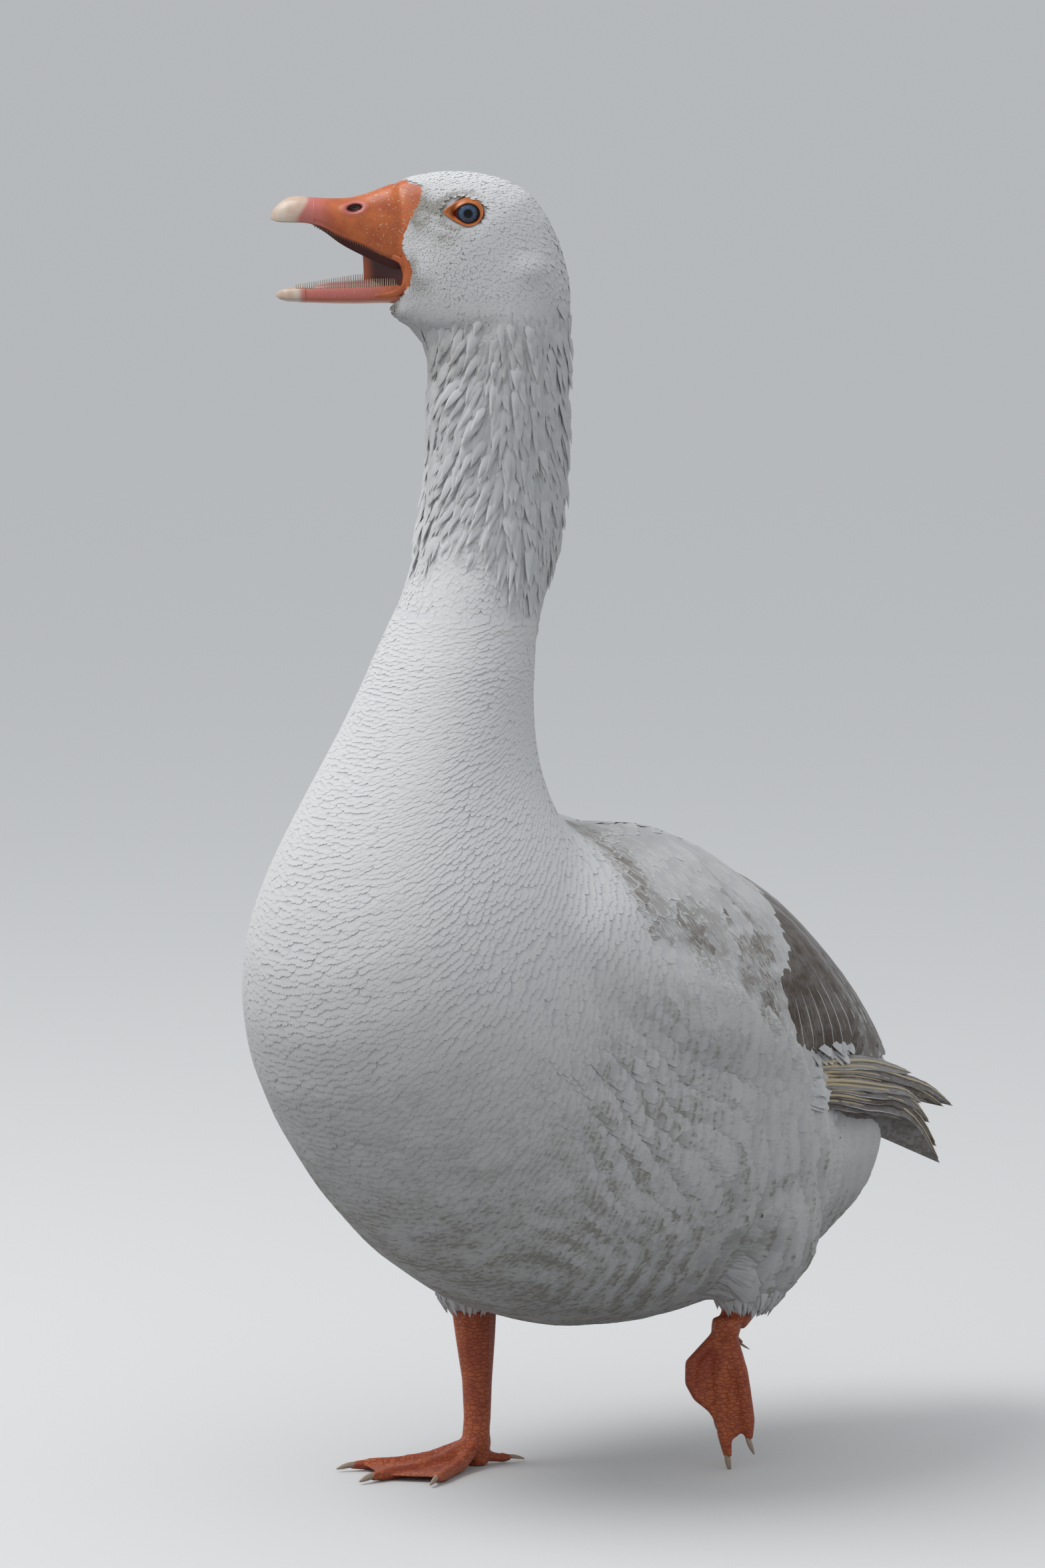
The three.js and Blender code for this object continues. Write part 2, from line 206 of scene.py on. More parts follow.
# %% [markdown]
# ## The skin
#
# The solids of flesh are parted by thin cuts, so copies of them are swollen a
# little, joined and rebuilt as one surface with a voxel remesh. A rounded root
# of flesh fills the tail's socket. A second surface, the torso, has the bill and
# eyes as well. Feathers are measured out on it, and it is thrown away at the end.

# %% One skin from the solids of flesh
SWELLING = 0.35  # more than half of the widest cut
TAIL_ROOT = (-209.0, 211.0, 0.0)
TAIL_ROOT_SIZE = (46.0, 33.0, 24.0)


def add_tail_root(surface):
    """Joins a rounded root of the tail to a surface."""
    deselect()
    middle = (at(*TAIL_ROOT) * MM).tolist()
    bpy.ops.mesh.primitive_uv_sphere_add(segments=48, ring_count=24, location=middle)
    bpy.context.object.scale = [size * MM for size in TAIL_ROOT_SIZE]
    surface.select_set(True)
    bpy.context.view_layer.objects.active = surface
    bpy.ops.object.join()


def skin_over(title, nodes, grain, softness, tail_root=False):
    """Solids grown together into one closed surface with no gaps between them."""
    surface = copy_of(title, nodes)
    set_places(surface, places_of(surface) + SWELLING * normals_of(surface))
    if tail_root:
        add_tail_root(surface)
    apply_modifier(surface, "REMESH", mode="VOXEL", voxel_size=grain * MM, use_smooth_shade=True)
    apply_modifier(surface, "SMOOTH", factor=0.5, iterations=softness)
    return surface


TORSO = ["head", "neck_upper", "neck_middle", "neck_lower", "breast", "trunk", "rump"]
WINGS = ["wing_left", "wing_right", "inner_feathers_left", "inner_feathers_right"]
THIGHS = ["thigh_left", "thigh_right"]
HEAD_PARTS = ["bill_upper", "bill_lower", "eye_left", "eye_right"]
TORSO_GRAIN, TORSO_SOFTNESS = 2.5, 10
SKIN_GRAIN, SKIN_SOFTNESS = 2.8, 8

torso = skin_over("torso", TORSO + WINGS + THIGHS + HEAD_PARTS, TORSO_GRAIN, TORSO_SOFTNESS, True)
skin = skin_over("skin", TORSO + WINGS + THIGHS, SKIN_GRAIN, SKIN_SOFTNESS, True)
print("faces of the torso and the skin:", len(torso.data.polygons), len(skin.data.polygons))

# %% [markdown]
# Behind the feathers of the flank the rump lies deeper. Their rear edge is a
# line from the wing to the thigh, and the flank is told by distances from it.

# %% The rear edge of the flank
# From the wing down: forward and height.
RIM = np.array([(14, 325), (-5, 304), (-32, 291), (-70, 262), (-97, 231), (-114, 200),
                (-122, 170), (-122, 135)], dtype=float)


def even_line(stations, count):
    """Places evenly spread along a line of stations."""
    stations = np.array(stations, dtype=float)
    runs = np.linalg.norm(np.diff(stations, axis=0), axis=1)
    marks = np.concatenate(((0,), np.cumsum(runs)))
    wanted = np.linspace(0, marks[-1], count)
    return np.stack([np.interp(wanted, marks, column) for column in stations.T], axis=1)


RIM_LINE = even_line(RIM, 80)


def past_rim(places):
    """How far behind the flank's edge places are; less than nothing in front."""
    forward, z, _ = body_place(places)
    flat = np.stack((forward, z), axis=-1)[..., None, :]
    distance = np.linalg.norm(flat - RIM_LINE, axis=-1).min(axis=-1)
    behind = forward < np.interp(z, RIM[::-1, 1], RIM[::-1, 0])
    return np.where(behind, distance, -distance)


print("the flank's edge is", round(np.linalg.norm(np.diff(RIM, axis=0), axis=1).sum()), "mm long")

# %% [markdown]
# The solids' flat faces would show through the coat, so the body is smoothed
# again under a vertex group that spares head, neck and thighs. That draws it in
# by about two millimetres, which are given back. Then the soft forms are pushed
# out: the ear, the fold under the jaw, the chin and the flank.

# %% Rounding off, and the soft forms
ROUNDING = 110  # passes of smoothing over the body
RUMP_ROUNDING = 60  # passes over the rump and the root of the tail
GIVEN_BACK = 1.8
FLANK_SWELL = 4.0
RUMP_SUNK = 6.5
THIGH_MIDDLES = ((14, -56), (-94, 72))  # forward and side


def body_share(places):
    """1 on the body, 0 on the head, the neck and the thighs."""
    forward, z, x = body_place(places)
    share = smoothstep(z, 560, 450) * (0.25 + 0.75 * smoothstep(forward, -205, -150))
    for thigh_forward, thigh_side in THIGH_MIDDLES:
        away = np.hypot(forward - thigh_forward, x - thigh_side)
        share = share * (1 - 0.8 * smoothstep(away, 46, 26) * smoothstep(z, 165, 140))
    return share


def soft_forms(places):
    """How far each soft form stands out, or sinks in."""
    ahead, height, side = head_place(places)
    ear = 2.4 * bell(ahead, -19, 10) * bell(height, 728, 8) * smoothstep(np.abs(side), 8, 18)
    fold = -1.8 * bell(height, 694 - 0.1 * ahead, 5) * smoothstep(ahead, -8, 12)
    gap = past_rim(places)
    flank = np.where(gap < 0, bell(gap, 0, 42), smoothstep(gap, 13, 0))
    forward, z, x = body_place(places)
    beside = smoothstep(np.abs(x), 45, 85)
    flank = flank * beside * smoothstep(z, 335, 300)
    rump = smoothstep(gap, 0, 26) * beside
    rump = rump * smoothstep(z, 264, 248) * smoothstep(forward, -210, -165)
    chin = 3.4 * bell(ahead, 61, 8) * bell(height, 702, 5)
    return ear + fold + chin + FLANK_SWELL * flank - RUMP_SUNK * rump


def smooth_under(surface, title, shares, passes):
    """Smooths a surface where a new vertex group has weight."""
    group = surface.vertex_groups.new(name=title)
    for number, share in enumerate(shares.tolist()):
        group.add([number], share, "REPLACE")
    apply_modifier(surface, "SMOOTH", factor=0.5, iterations=passes, vertex_group=title)


def round_off(surface):
    smooth_under(surface, "body", body_share(places_of(surface)), ROUNDING)
    places = places_of(surface)
    push = GIVEN_BACK * body_share(places) + soft_forms(places)
    set_places(surface, places + push[:, None] * normals_of(surface))
    behind = smoothstep(past_rim(places), 5, 20) * smoothstep(places[:, 2], 285, 262)
    from_root = np.hypot(places[:, 0] / 50, (places[:, 2] - TAIL_ROOT[1]) / 34)
    tail_root = bell(from_root, 0, 1) * (places[:, 1] > 150)
    shares = np.clip(behind * body_share(places) + tail_root, 0, 1)
    smooth_under(surface, "rump", shares, RUMP_ROUNDING)


round_off(torso)
round_off(skin)
print("the skin now stands", round(places_of(skin)[:, 2].max()), "mm tall")

# %% [markdown]
# The skin is drawn in by the depth of the coat that will lie on it: under a
# millimetre on the face, two on the breast and nearly three under the locks of
# the neck. It then stands for all the solids of flesh.


# %% Room for the coat
def coat_depth(places):
    """How thick the coat is, in millimetres, at places on the bird."""
    height = places[..., 2]
    ahead, _, _ = head_place(places)
    neck = smoothstep(height, 715, 680)
    locks = neck * smoothstep(height, 480, 540)
    face = smoothstep(height, 690, 705) * smoothstep(ahead, 30, 60)
    nape = neck * smoothstep(ahead, -5, -28) * smoothstep(height, 560, 620)
    depth = 1.2 + 0.8 * neck + 1.6 * locks - 0.5 * face + 2.2 * nape
    low_leg = smoothstep(height, 150, 110)
    return depth * (1 - 0.3 * low_leg)


skin_places = places_of(skin)
set_places(skin, skin_places - coat_depth(skin_places)[:, None] * normals_of(skin))
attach(skin, "root")
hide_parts(*TORSO, *WINGS, *THIGHS)
print("deepest coat:", round(coat_depth(skin_places).max(), 1), "mm")

# %% [markdown]
# ## Wrapping the body
#
# Feathers need to know where they are on the bird and which way the tail is.
# A line is run through the middle of the body, from the bill to the rump. Its
# stations are few and far between, so they are filled in and evened out.

# %% The line through the body
# Each station is how far forward, how high, the lean of the section and the
# opening of the cone of rays towards the head, both in degrees.
BODY_LINE = [
    (-205, 207, 0, -84),
    (-208, 207, 0, -45),
    (-208, 206, 0, -12),
    (-168, 211, -1, 0),
    (-102, 226, 0, 0),
    (-39, 237, 1, 0),
    (25, 250, 6, 0),
    (70, 271, 16, 0),
    (103, 301, 28, 0),
    (124, 334, 41, 0),
    (132, 367, 52, 0),
    (128, 400, 60, 0),
    (116, 435, 66, 0),
    (99, 471, 70, 0),
    (78, 513, 78, 0),
    (59, 556, 84, 0),
    (49, 600, 87, 0),
    (47, 646, 87, 0),
    (48, 681, 81, 0),
    (54, 706, 70, 0),
    (62, 725, 58, 0),
    (71, 739, 46, 0),
    (82, 746, 32, 4),
    (88, 748, 20, 22),
    (91, 748, 14, 48),
    (92, 748, 12, 74),
]
RING_GAP = 1.9
CONE_WORTH = 0.9  # millimetres of line that a degree of cone counts for
WINDOW = 15  # stations that are evened out together


def denser(stations, step):
    """Stations filled in between, about a step apart, and evened out."""
    stations = np.array(stations, dtype=float)
    cone_run = CONE_WORTH * np.abs(np.diff(stations[:, -1]))
    runs = np.hypot(*np.diff(stations[:, :2], axis=0).T) + cone_run
    marks = np.concatenate(((0,), np.cumsum(runs)))
    fine = np.linspace(0, marks[-1], int(marks[-1] / step))
    filled = np.stack([np.interp(fine, marks, column) for column in stations.T], axis=1)
    window = np.hanning(WINDOW)
    window /= window.sum()
    padded = np.pad(filled, ((WINDOW // 2, WINDOW // 2), (0, 0)), mode="edge")
    return np.stack([np.convolve(column, window, "valid") for column in padded.T], axis=1)


body_line = denser(BODY_LINE, RING_GAP)[::-1]
print("rings from bill to rump:", len(body_line))

# %% [markdown]
# At each station rays are sent out all round to meet the surface. The hits make
# a grid that runs down the body one way and round it the other, from the back
# over the left side. `pace` and `stride` are the millimetres of its steps.


# %% A grid over a surface
ROUND = 360  # rays in each ring


def smooth_grid(grid, times):
    """Each place averaged with its neighbours, closed round the body."""
    for _ in range(times):
        grid = (np.roll(grid, 1, axis=1) + 2 * grid + np.roll(grid, -1, axis=1)) / 4
        inner = (grid[:-2] + 2 * grid[1:-1] + grid[2:]) / 4
        grid = np.concatenate((grid[:1], inner, grid[-1:]))
    return grid


def unit(vectors):
    return vectors / np.maximum(np.linalg.norm(vectors, axis=-1, keepdims=True), 1e-9)


def settled(tree, grid):
    """Each place moved to the nearest on the surface."""
    flat = [tree.find_nearest(place)[0] for place in (grid.reshape(-1, 3) * MM).tolist()]
    return np.array(flat).reshape(grid.shape) / MM


class Wrap:
    """A grid of places over a surface, running tailwards and round the body."""

    def __init__(self, places, tree):
        self.places = settled(tree, smooth_grid(places, 3))
        self.rings, self.round = places.shape[:2]
        along = np.gradient(self.places, axis=0)
        across = (np.roll(self.places, -1, axis=1) - np.roll(self.places, 1, axis=1)) / 2
        self.normals = unit(smooth_grid(np.cross(across, along), 2))
        self.pace = np.maximum(np.linalg.norm(along, axis=-1), 0.15)
        self.stride = np.maximum(np.linalg.norm(across, axis=-1), 0.05)

    def spot(self, place):
        """The grid's (down, turn) nearest to a place."""
        away = np.linalg.norm(self.places - place, axis=-1)
        return np.unravel_index(np.argmin(away), away.shape)

    def read(self, field, down, turn):
        """A field's value between the grid's places."""
        down = np.clip(down, 0, self.rings - 1.001)
        i = down.astype(int)
        j = np.floor(turn).astype(int)
        u, v = down - i, turn - j
        if field.ndim == 3:
            u, v = u[..., None], v[..., None]
        near, far = j % self.round, (j + 1) % self.round
        upper = field[i, near] * (1 - v) + field[i, far] * v
        lower = field[i + 1, near] * (1 - v) + field[i + 1, far] * v
        return upper * (1 - u) + lower * u


# %% [markdown]
# The rays of a ring lie in its section, or on a cone where the body closes at
# either end. The body's grid is drawn in by the depth of the coat, as the skin is.

# %% The grid of the body
def wrap_round(surface, centres, ups, aheads, cones):
    """Sends rings of rays from a line of centres out to a surface."""
    tree = BVHTree.FromObject(surface, bpy.context.evaluated_depsgraph_get())
    turns = np.linspace(0, math.tau, ROUND, endpoint=False)
    grid = np.zeros((len(centres), ROUND, 3))
    for i, (centre, up, ahead, cone) in enumerate(zip(centres, ups, aheads, cones)):
        left = np.cross(up, ahead)
        flat = np.cos(turns)[:, None] * up + np.sin(turns)[:, None] * left
        rays = math.cos(cone) * flat + math.sin(cone) * ahead
        for j, ray in enumerate(rays):
            hit = tree.ray_cast((centre * MM).tolist(), ray.tolist())[0]
            grid[i, j] = np.array(hit) / MM if hit else centre
    return Wrap(grid, tree)


def wrap_body(surface, line):
    centres, ups, aheads = [], [], []
    for forward, height, lean, _ in line:
        turn = turn_of(height)
        centre = at(forward, height) - at(NECK_AXIS, 0)
        centres.append(turned(centre, turn) + at(NECK_AXIS, 0))
        lean = math.radians(lean)
        ups.append(turned((0, math.sin(lean), math.cos(lean)), turn))
        aheads.append(turned((0, -math.cos(lean), math.sin(lean)), turn))
    return wrap_round(surface, centres, ups, aheads, np.radians(line[:, 3]))


body_wrap = wrap_body(torso, body_line)
body_wrap.places -= coat_depth(body_wrap.places)[..., None] * body_wrap.normals
print("body grid:", body_wrap.places.shape)

# %% [markdown]
# ## The shape of one feather
#
# A feather is a thin closed vane: a top that rises to the shaft and a flat
# underside. Its tip is ragged, because barbs part there. It goes from -1 to 1
# across and 0 to 1 along, with few faces, since tens of thousands are laid.


# %% Vanes
class Vane:
    """The outline of a feather: rows of (share along, half width) and its tip."""

    def __init__(self, rows, tip, ridge=1):
        left = [(-width, along, 0) for along, width in rows]
        right = [(width, along, 0) for along, width in reversed(rows)]
        outline = left + [(side, along, 0) for side, along in tip] + right
        shaft = [(0, along, ridge * math.sin(0.4 + 2.2 * along)) for along, _ in rows]
        shaft[0] = (0, rows[0][0], 0)
        self.points = np.array(outline + shaft + outline + shaft[:1])
        edge, count = len(outline), len(rows)
        rear = edge + count
        top = []
        for i in range(count - 1):
            right_side = edge - 1 - i
            top.append((i, edge + i, edge + i + 1))
            top.append((i, edge + i + 1, i + 1))
            top.append((edge + i, right_side, right_side - 1))
            top.append((edge + i, right_side - 1, edge + i + 1))
        last = edge + count - 1
        top += [(i, last, i + 1) for i in range(count - 1, edge - count)]
        under = [(rear + edge, rear + i, rear + i + 1) for i in range(edge - 1)]
        self.faces = np.array(top + under)
        self.smooth = np.array([True] * len(top) + [False] * len(under))


def long_rows(count, width_at):
    """Rows of a long vane, evenly spaced up to its tip."""
    return [(along, width_at(along)) for along in np.linspace(0, 0.93, count)]


TINY = [
    Vane([(0, 0.5), (0.55, 1)], [(-0.35, 0.92), (0.1, 1), (0.6, 0.86)]),
    Vane([(0, 0.5), (0.6, 0.95)], [(-0.5, 0.84), (-0.05, 1), (0.4, 0.93)]),
]
LOCK = [
    Vane([(0, 0.6), (0.35, 1), (0.7, 0.66)], [(-0.2, 0.9), (0.05, 1), (0.26, 0.86)]),
    Vane([(0, 0.6), (0.4, 1), (0.72, 0.58)], [(-0.28, 0.86), (-0.06, 1), (0.2, 0.92)]),
]
SOFT = [
    Vane([(0, 0.45), (0.4, 0.95), (0.8, 0.95)],
         [(-0.7, 0.93), (-0.5, 0.91), (-0.2, 1), (0.05, 0.96), (0.3, 0.99), (0.7, 0.92)]),
    Vane([(0, 0.45), (0.4, 0.95), (0.8, 1)],
         [(-0.75, 0.91), (-0.3, 0.98), (-0.1, 0.95), (0.25, 1), (0.5, 0.94), (0.78, 0.9)]),
    Vane([(0, 0.45), (0.45, 1), (0.82, 0.94)],
         [(-0.6, 0.96), (-0.35, 0.93), (0, 1), (0.2, 0.96), (0.45, 0.98), (0.65, 0.93)]),
]
BROAD = [
    Vane([(0, 0.35), (0.2, 0.7), (0.45, 0.97), (0.7, 1), (0.86, 0.84)],
         [(-0.62, 0.94), (-0.3, 0.985), (-0.22, 0.96), (0.05, 1), (0.35, 0.985), (0.64, 0.93)]),
    Vane([(0, 0.35), (0.2, 0.7), (0.45, 1), (0.7, 0.97), (0.87, 0.8)],
         [(-0.58, 0.95), (-0.2, 1), (0.1, 0.985), (0.18, 0.955), (0.42, 0.98), (0.62, 0.94)]),
]
WISP = [
    Vane([(0, 0.7), (0.3, 1), (0.65, 0.6)], [(0, 1)]),
    Vane([(0, 0.7), (0.35, 1), (0.7, 0.5)], [(-0.1, 1)]),
]
QUILL = [
    Vane(long_rows(11, lambda v: 0.35 + 0.65 * math.sin(1.9 * v + 0.15)),
         [(-0.6, 0.955), (-0.35, 0.98), (-0.3, 0.955), (0, 1), (0.3, 0.98), (0.55, 0.95)]),
]
POINTED = [
    Vane(long_rows(13, lambda v: 0.12 + 0.9 * math.sin(math.pi * v**0.8) ** 0.8),
         [(-0.1, 0.96), (0, 1), (0.08, 0.97)]),
    Vane(long_rows(13, lambda v: 0.1 + 0.85 * math.sin(math.pi * v**0.7) ** 0.7),
         [(-0.08, 0.95), (0, 1), (0.1, 0.96)]),
]
print("faces of one soft feather and one quill:", len(SOFT[0].faces), len(QUILL[0].faces))

# %% [markdown]
# ## One mesh for many feathers
#
# A coat gathers its feathers and makes one mesh of them. Each keeps for the
# material its place along and across the vane, a number of its own, how brown it
# is, and how much mud and painted shade it carries. Its tuft on the baking map is
# a small patch at its root's place on the grid, which is an unwrap of the body itself.

# %% Coats
OFBAKE_PATCH = 0.003


class Coat:
    """Feathers gathered for one mesh."""

    def __init__(self):
        self.places, self.faces, self.smooth = [], [], []
        self.maps, self.vanes, self.marks = [], [], []
        self.count = 0

    def add(self, places, vane, maps, marks, lengths, halves):
        number, points = len(places), len(vane.points)
        starts = self.count + points * np.arange(number)
        self.places.append(places.reshape(-1, 3))
        self.faces.append((vane.faces[None] + starts[:, None, None]).reshape(-1, 3))
        self.smooth.append(np.tile(vane.smooth, number))
        self.maps.append(maps.reshape(-1, 2))
        seeds = np.broadcast_to(dice.uniform(0, 900, (number, 1)), (number, points))
        across = vane.points[None, :, 0] * halves[:, None]
        along = vane.points[None, :, 1] * lengths[:, None]
        self.vanes.append(np.stack((across, along, seeds), axis=-1).reshape(-1, 3))
        self.marks.append(marks.reshape(-1, 4))
        self.count += number * points

    def finish(self, name, shade, slot="plumage"):
        places = np.concatenate(self.places)
        faces = np.concatenate(self.faces)
        mesh = bpy.data.meshes.new(name)
        mesh.vertices.add(len(places))
        mesh.vertices.foreach_set("co", (places * MM).ravel())
        mesh.loops.add(faces.size)
        mesh.loops.foreach_set("vertex_index", faces.ravel())
        mesh.polygons.add(len(faces))
        mesh.polygons.foreach_set("loop_start", np.arange(0, faces.size, 3))
        mesh.polygons.foreach_set("use_smooth", np.concatenate(self.smooth))
        unwrap = mesh.uv_layers.new(name="OFBake")
        unwrap.uv.foreach_set("vector", np.concatenate(self.maps)[faces.ravel()].ravel())
        vane = mesh.attributes.new("vane", "FLOAT_VECTOR", "POINT")
        vane.data.foreach_set("vector", np.concatenate(self.vanes).ravel())
        marks = mesh.attributes.new("marks", "FLOAT_COLOR", "POINT")
        marks.data.foreach_set("color", np.concatenate(self.marks).ravel())
        mesh.update(calc_edges=True)
        mesh.materials.append(shade)
        coat = new_object(name, mesh)
        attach(coat, "root")
        print(f"{name}: {len(faces)} faces")


def marks_for(vane, brown, soil_and_shade):
    """Per point: brown, mud with painted shade, share along and share across the vane."""
    shape = (len(brown), len(vane.points))
    return np.stack((
        np.broadcast_to(brown[:, None], shape),
        np.broadcast_to(soil_and_shade[:, None], shape),
        np.broadcast_to(vane.points[None, :, 1], shape),
        np.broadcast_to(np.abs(vane.points[None, :, 0]), shape),
    ), axis=-1)


def patches_for(vane, roots):
    """The tufts on the baking map of feathers whose roots are there."""
    patch = np.stack((vane.points[:, 0] * 0.5, vane.points[:, 1] - 0.5), axis=-1)
    return np.clip(roots[:, None] + patch[None] * OFBAKE_PATCH, 0, 1)


# %% [markdown]
# ## Laying feathers
#
# Each feather is bent over the body by walking down the grid from its root and
# stepping sideways, so wide ones hug the form. The root is at the skin, the vane
# soon rises through the down, and the tip stands higher still, over the feather
# behind it, as tiles lie.

# %% Paths, and vanes laid along them
STEPS = 8  # lengths into which a feather's bending is divided
SHOWN = 7  # the one that the feather in front leaves open
SUNK_ROOT = 0.15


def walk(wrap, down, turn, length, yaw):
    """Paths down the grid from many roots, veering by an angle."""
    downs, turns = [down], [turn]
    for _ in range(STEPS):
        pace = wrap.read(wrap.pace, downs[-1], turns[-1])
        stride = wrap.read(wrap.stride, downs[-1], turns[-1])
        downs.append(downs[-1] + np.cos(yaw) * length / STEPS / pace)
        turns.append(turns[-1] + np.sin(yaw) * length / STEPS / stride)
    return np.array(downs), np.array(turns)


def between(wrap, roots, tips, bow=0):
    """Paths straight over the grid from root places to tip places."""
    share = np.linspace(0, 1, STEPS + 1)[:, None]
    starts = np.array([wrap.spot(place) for place in roots], dtype=float)
    ends = np.array([wrap.spot(place) for place in tips], dtype=float)
    downs = starts[:, 0] * (1 - share) + ends[:, 0] * share
    turns = starts[:, 1] * (1 - share) + ends[:, 1] * share
    return downs, turns + bow * share * (1 - share)


def lay(coat, wrap, vane, path, half, rise, loft, tones_here, crown=0.03, tilt=0):
    """Lays one kind of vane along many paths over a grid.

    Half is half a vane's width, rise and loft lift its tip and its middle, and
    crown is the height of the ridge along its shaft.
    """
    downs, turns = path
    pace = wrap.read(wrap.pace, downs, turns)
    stride = wrap.read(wrap.stride, downs, turns)
    ahead = np.gradient(downs, axis=0) * pace
    aside = np.gradient(turns, axis=0) * stride
    run = np.maximum(np.hypot(ahead, aside), 1e-6)
    length = run[:-1].sum(axis=0)
    side, share, ridge = vane.points.T
    level = np.clip(share * STEPS, 0, STEPS - 0.001)
    low = level.astype(int)
    mix = (level - low)[None, :]

    def along(field):
        return field[low].T * (1 - mix) + field[low + 1].T * mix

    shift = side[None, :] * half[:, None]
    point_down = along(downs) - along(aside / run) * shift / along(pace)
    point_turn = along(turns) + along(ahead / run) * shift / along(stride)
    height = rise[:, None] * share + loft[:, None] * np.minimum(share / 0.3, 1)
    height = height + crown * half[:, None] * ridge + tilt * side - SUNK_ROOT
    places = wrap.read(wrap.places, point_down, point_turn)
    places = places + height[..., None] * wrap.read(wrap.normals, point_down, point_turn)
    root = np.stack((turns[0] / wrap.round % 1, downs[0] / wrap.rings), axis=-1)
    coat.add(places, vane, patches_for(vane, root), marks_for(vane, *tones_here), length, half)


print("a feather bends in", STEPS, "steps")

# %% [markdown]
# Feathers grow in rows, each set half a feather aside from the one above it, as
# slates are. Rows are counted off along every line of the grid, and a little
# chance keeps them from looking ruled.


# %% Staggered rows of roots
FEWEST = 3  # feathers, under which a row is left out


def row_roots(wrap, gap, width):
    """Roots in staggered rows: gap and width are the spacings along and round."""
    rows = np.cumsum(wrap.pace / gap, axis=0)
    levels = np.arange(1, int(rows.max()))
    columns = [np.interp(levels, rows[:, j], np.arange(wrap.rings), right=np.nan)
               for j in range(wrap.round)]
    reach = np.array(columns).T
    downs, turns = [], []
    ring = np.arange(wrap.round + 1)
    for number, line in enumerate(reach):
        line = np.append(line, line[0])
        known = ~np.isnan(line)
        safe = np.where(known, line, 0)
        spots = wrap.read(wrap.places, safe, ring.astype(float))
        runs = np.linalg.norm(np.diff(spots, axis=0), axis=-1)
        runs = runs / wrap.read(width, safe, ring.astype(float))[:-1]
        runs = np.where(known[:-1] & known[1:], runs, 0)
        marks = np.concatenate(((0,), np.cumsum(runs)))
        count = int(round(marks[-1]))
        if count < FEWEST:
            continue
        wanted = np.arange(count) + 0.5 * (number % 2) + dice.uniform(-0.16, 0.16, count)
        turn = np.interp(wanted * marks[-1] / count, marks, ring)
        down = np.interp(turn, ring, safe)
        keep = np.interp(turn, ring, known.astype(float)) > 0.99
        downs.append(down[keep])
        turns.append(turn[keep])
    return np.concatenate(downs), np.concatenate(turns)


print("from bill to rump over the belly:", round(body_wrap.pace[:, ROUND // 2].sum()), "mm")


# %% [markdown]
# ## Where the bird is marked
#
# The goose is white, but its wings are washed with grey-brown, mud has settled
# on breast and belly, and there are smudges beside the bill. The mud tone also
# carries painted shade, darker towards the belly and under the jaw. One function
# gives these tones for any place, so skin and feathers agree.

# %% Where the wings and the flank are
# The lower edge of a folded wing is forward and height, its inner edge is
# forward and side.
WING_EDGE = np.array([(-224, 236), (-150, 240), (-104, 236), (-97, 231), (-70, 262), (-32, 291),
                      (-5, 304), (14, 322), (40, 336), (52, 348)], dtype=float)
WING_INNER = np.array([(-224, 42), (-100, 34), (-40, 31), (20, 40), (52, 62)], dtype=float)
WING_FRONT = 50.0
FLANK_ROW = 14.0  # from one band of tips on the flank to the next


def beside_wing(forward, x):
    """How far outside a wing's inner edge places are."""
    return np.abs(x) - np.interp(forward, *WING_INNER.T)


def on_wing(places):
    """How much a place belongs to a folded wing, from 0 to 1."""
    forward, z, x = body_place(places)
    above = z - np.interp(forward, *WING_EDGE.T)
    outside = beside_wing(forward, x)
    ends = smoothstep(forward, WING_FRONT, WING_FRONT - 8) * smoothstep(forward, -208, -198)
    return smoothstep(above, -4, 4) * smoothstep(outside, -4, 4) * ends


def scapulars(places):
    """1 on the back just beside a folded wing."""
    forward, z, x = body_place(places)
    ends = smoothstep(forward, WING_FRONT + 10, WING_FRONT - 10) * smoothstep(forward, -150, -100)
    return bell(beside_wing(forward, x), -5, 10) * smoothstep(z, 285, 310) * ends


def flank_wave(places):
    """From 0 to 1 and back in bands side by side with the flank's rear edge."""
    forward, z, _ = body_place(places)
    gap = past_rim(places) + 5 * np.sin(z / 23) + 4 * np.sin(forward / 17) + 2 * np.sin(z / 9)
    return 0.5 + 0.5 * np.cos(math.tau * gap / FLANK_ROW)


print("grid places on the wings:", int((on_wing(body_wrap.places) > 0.5).sum()))

# %% [markdown]
# The wash has three patches. Mud is thickest on the lower breast, the flank and
# the belly, where it lies in bands, and the rump has kept clean. Towards the belly
# the mud is strengthened as painted shade of the underside. Each mark is a bell
# or two, so that its place and reach can be read and moved.


# %% Brown, mud with painted shade, and smudges
MOST_SOIL_AND_SHADE = 4.0


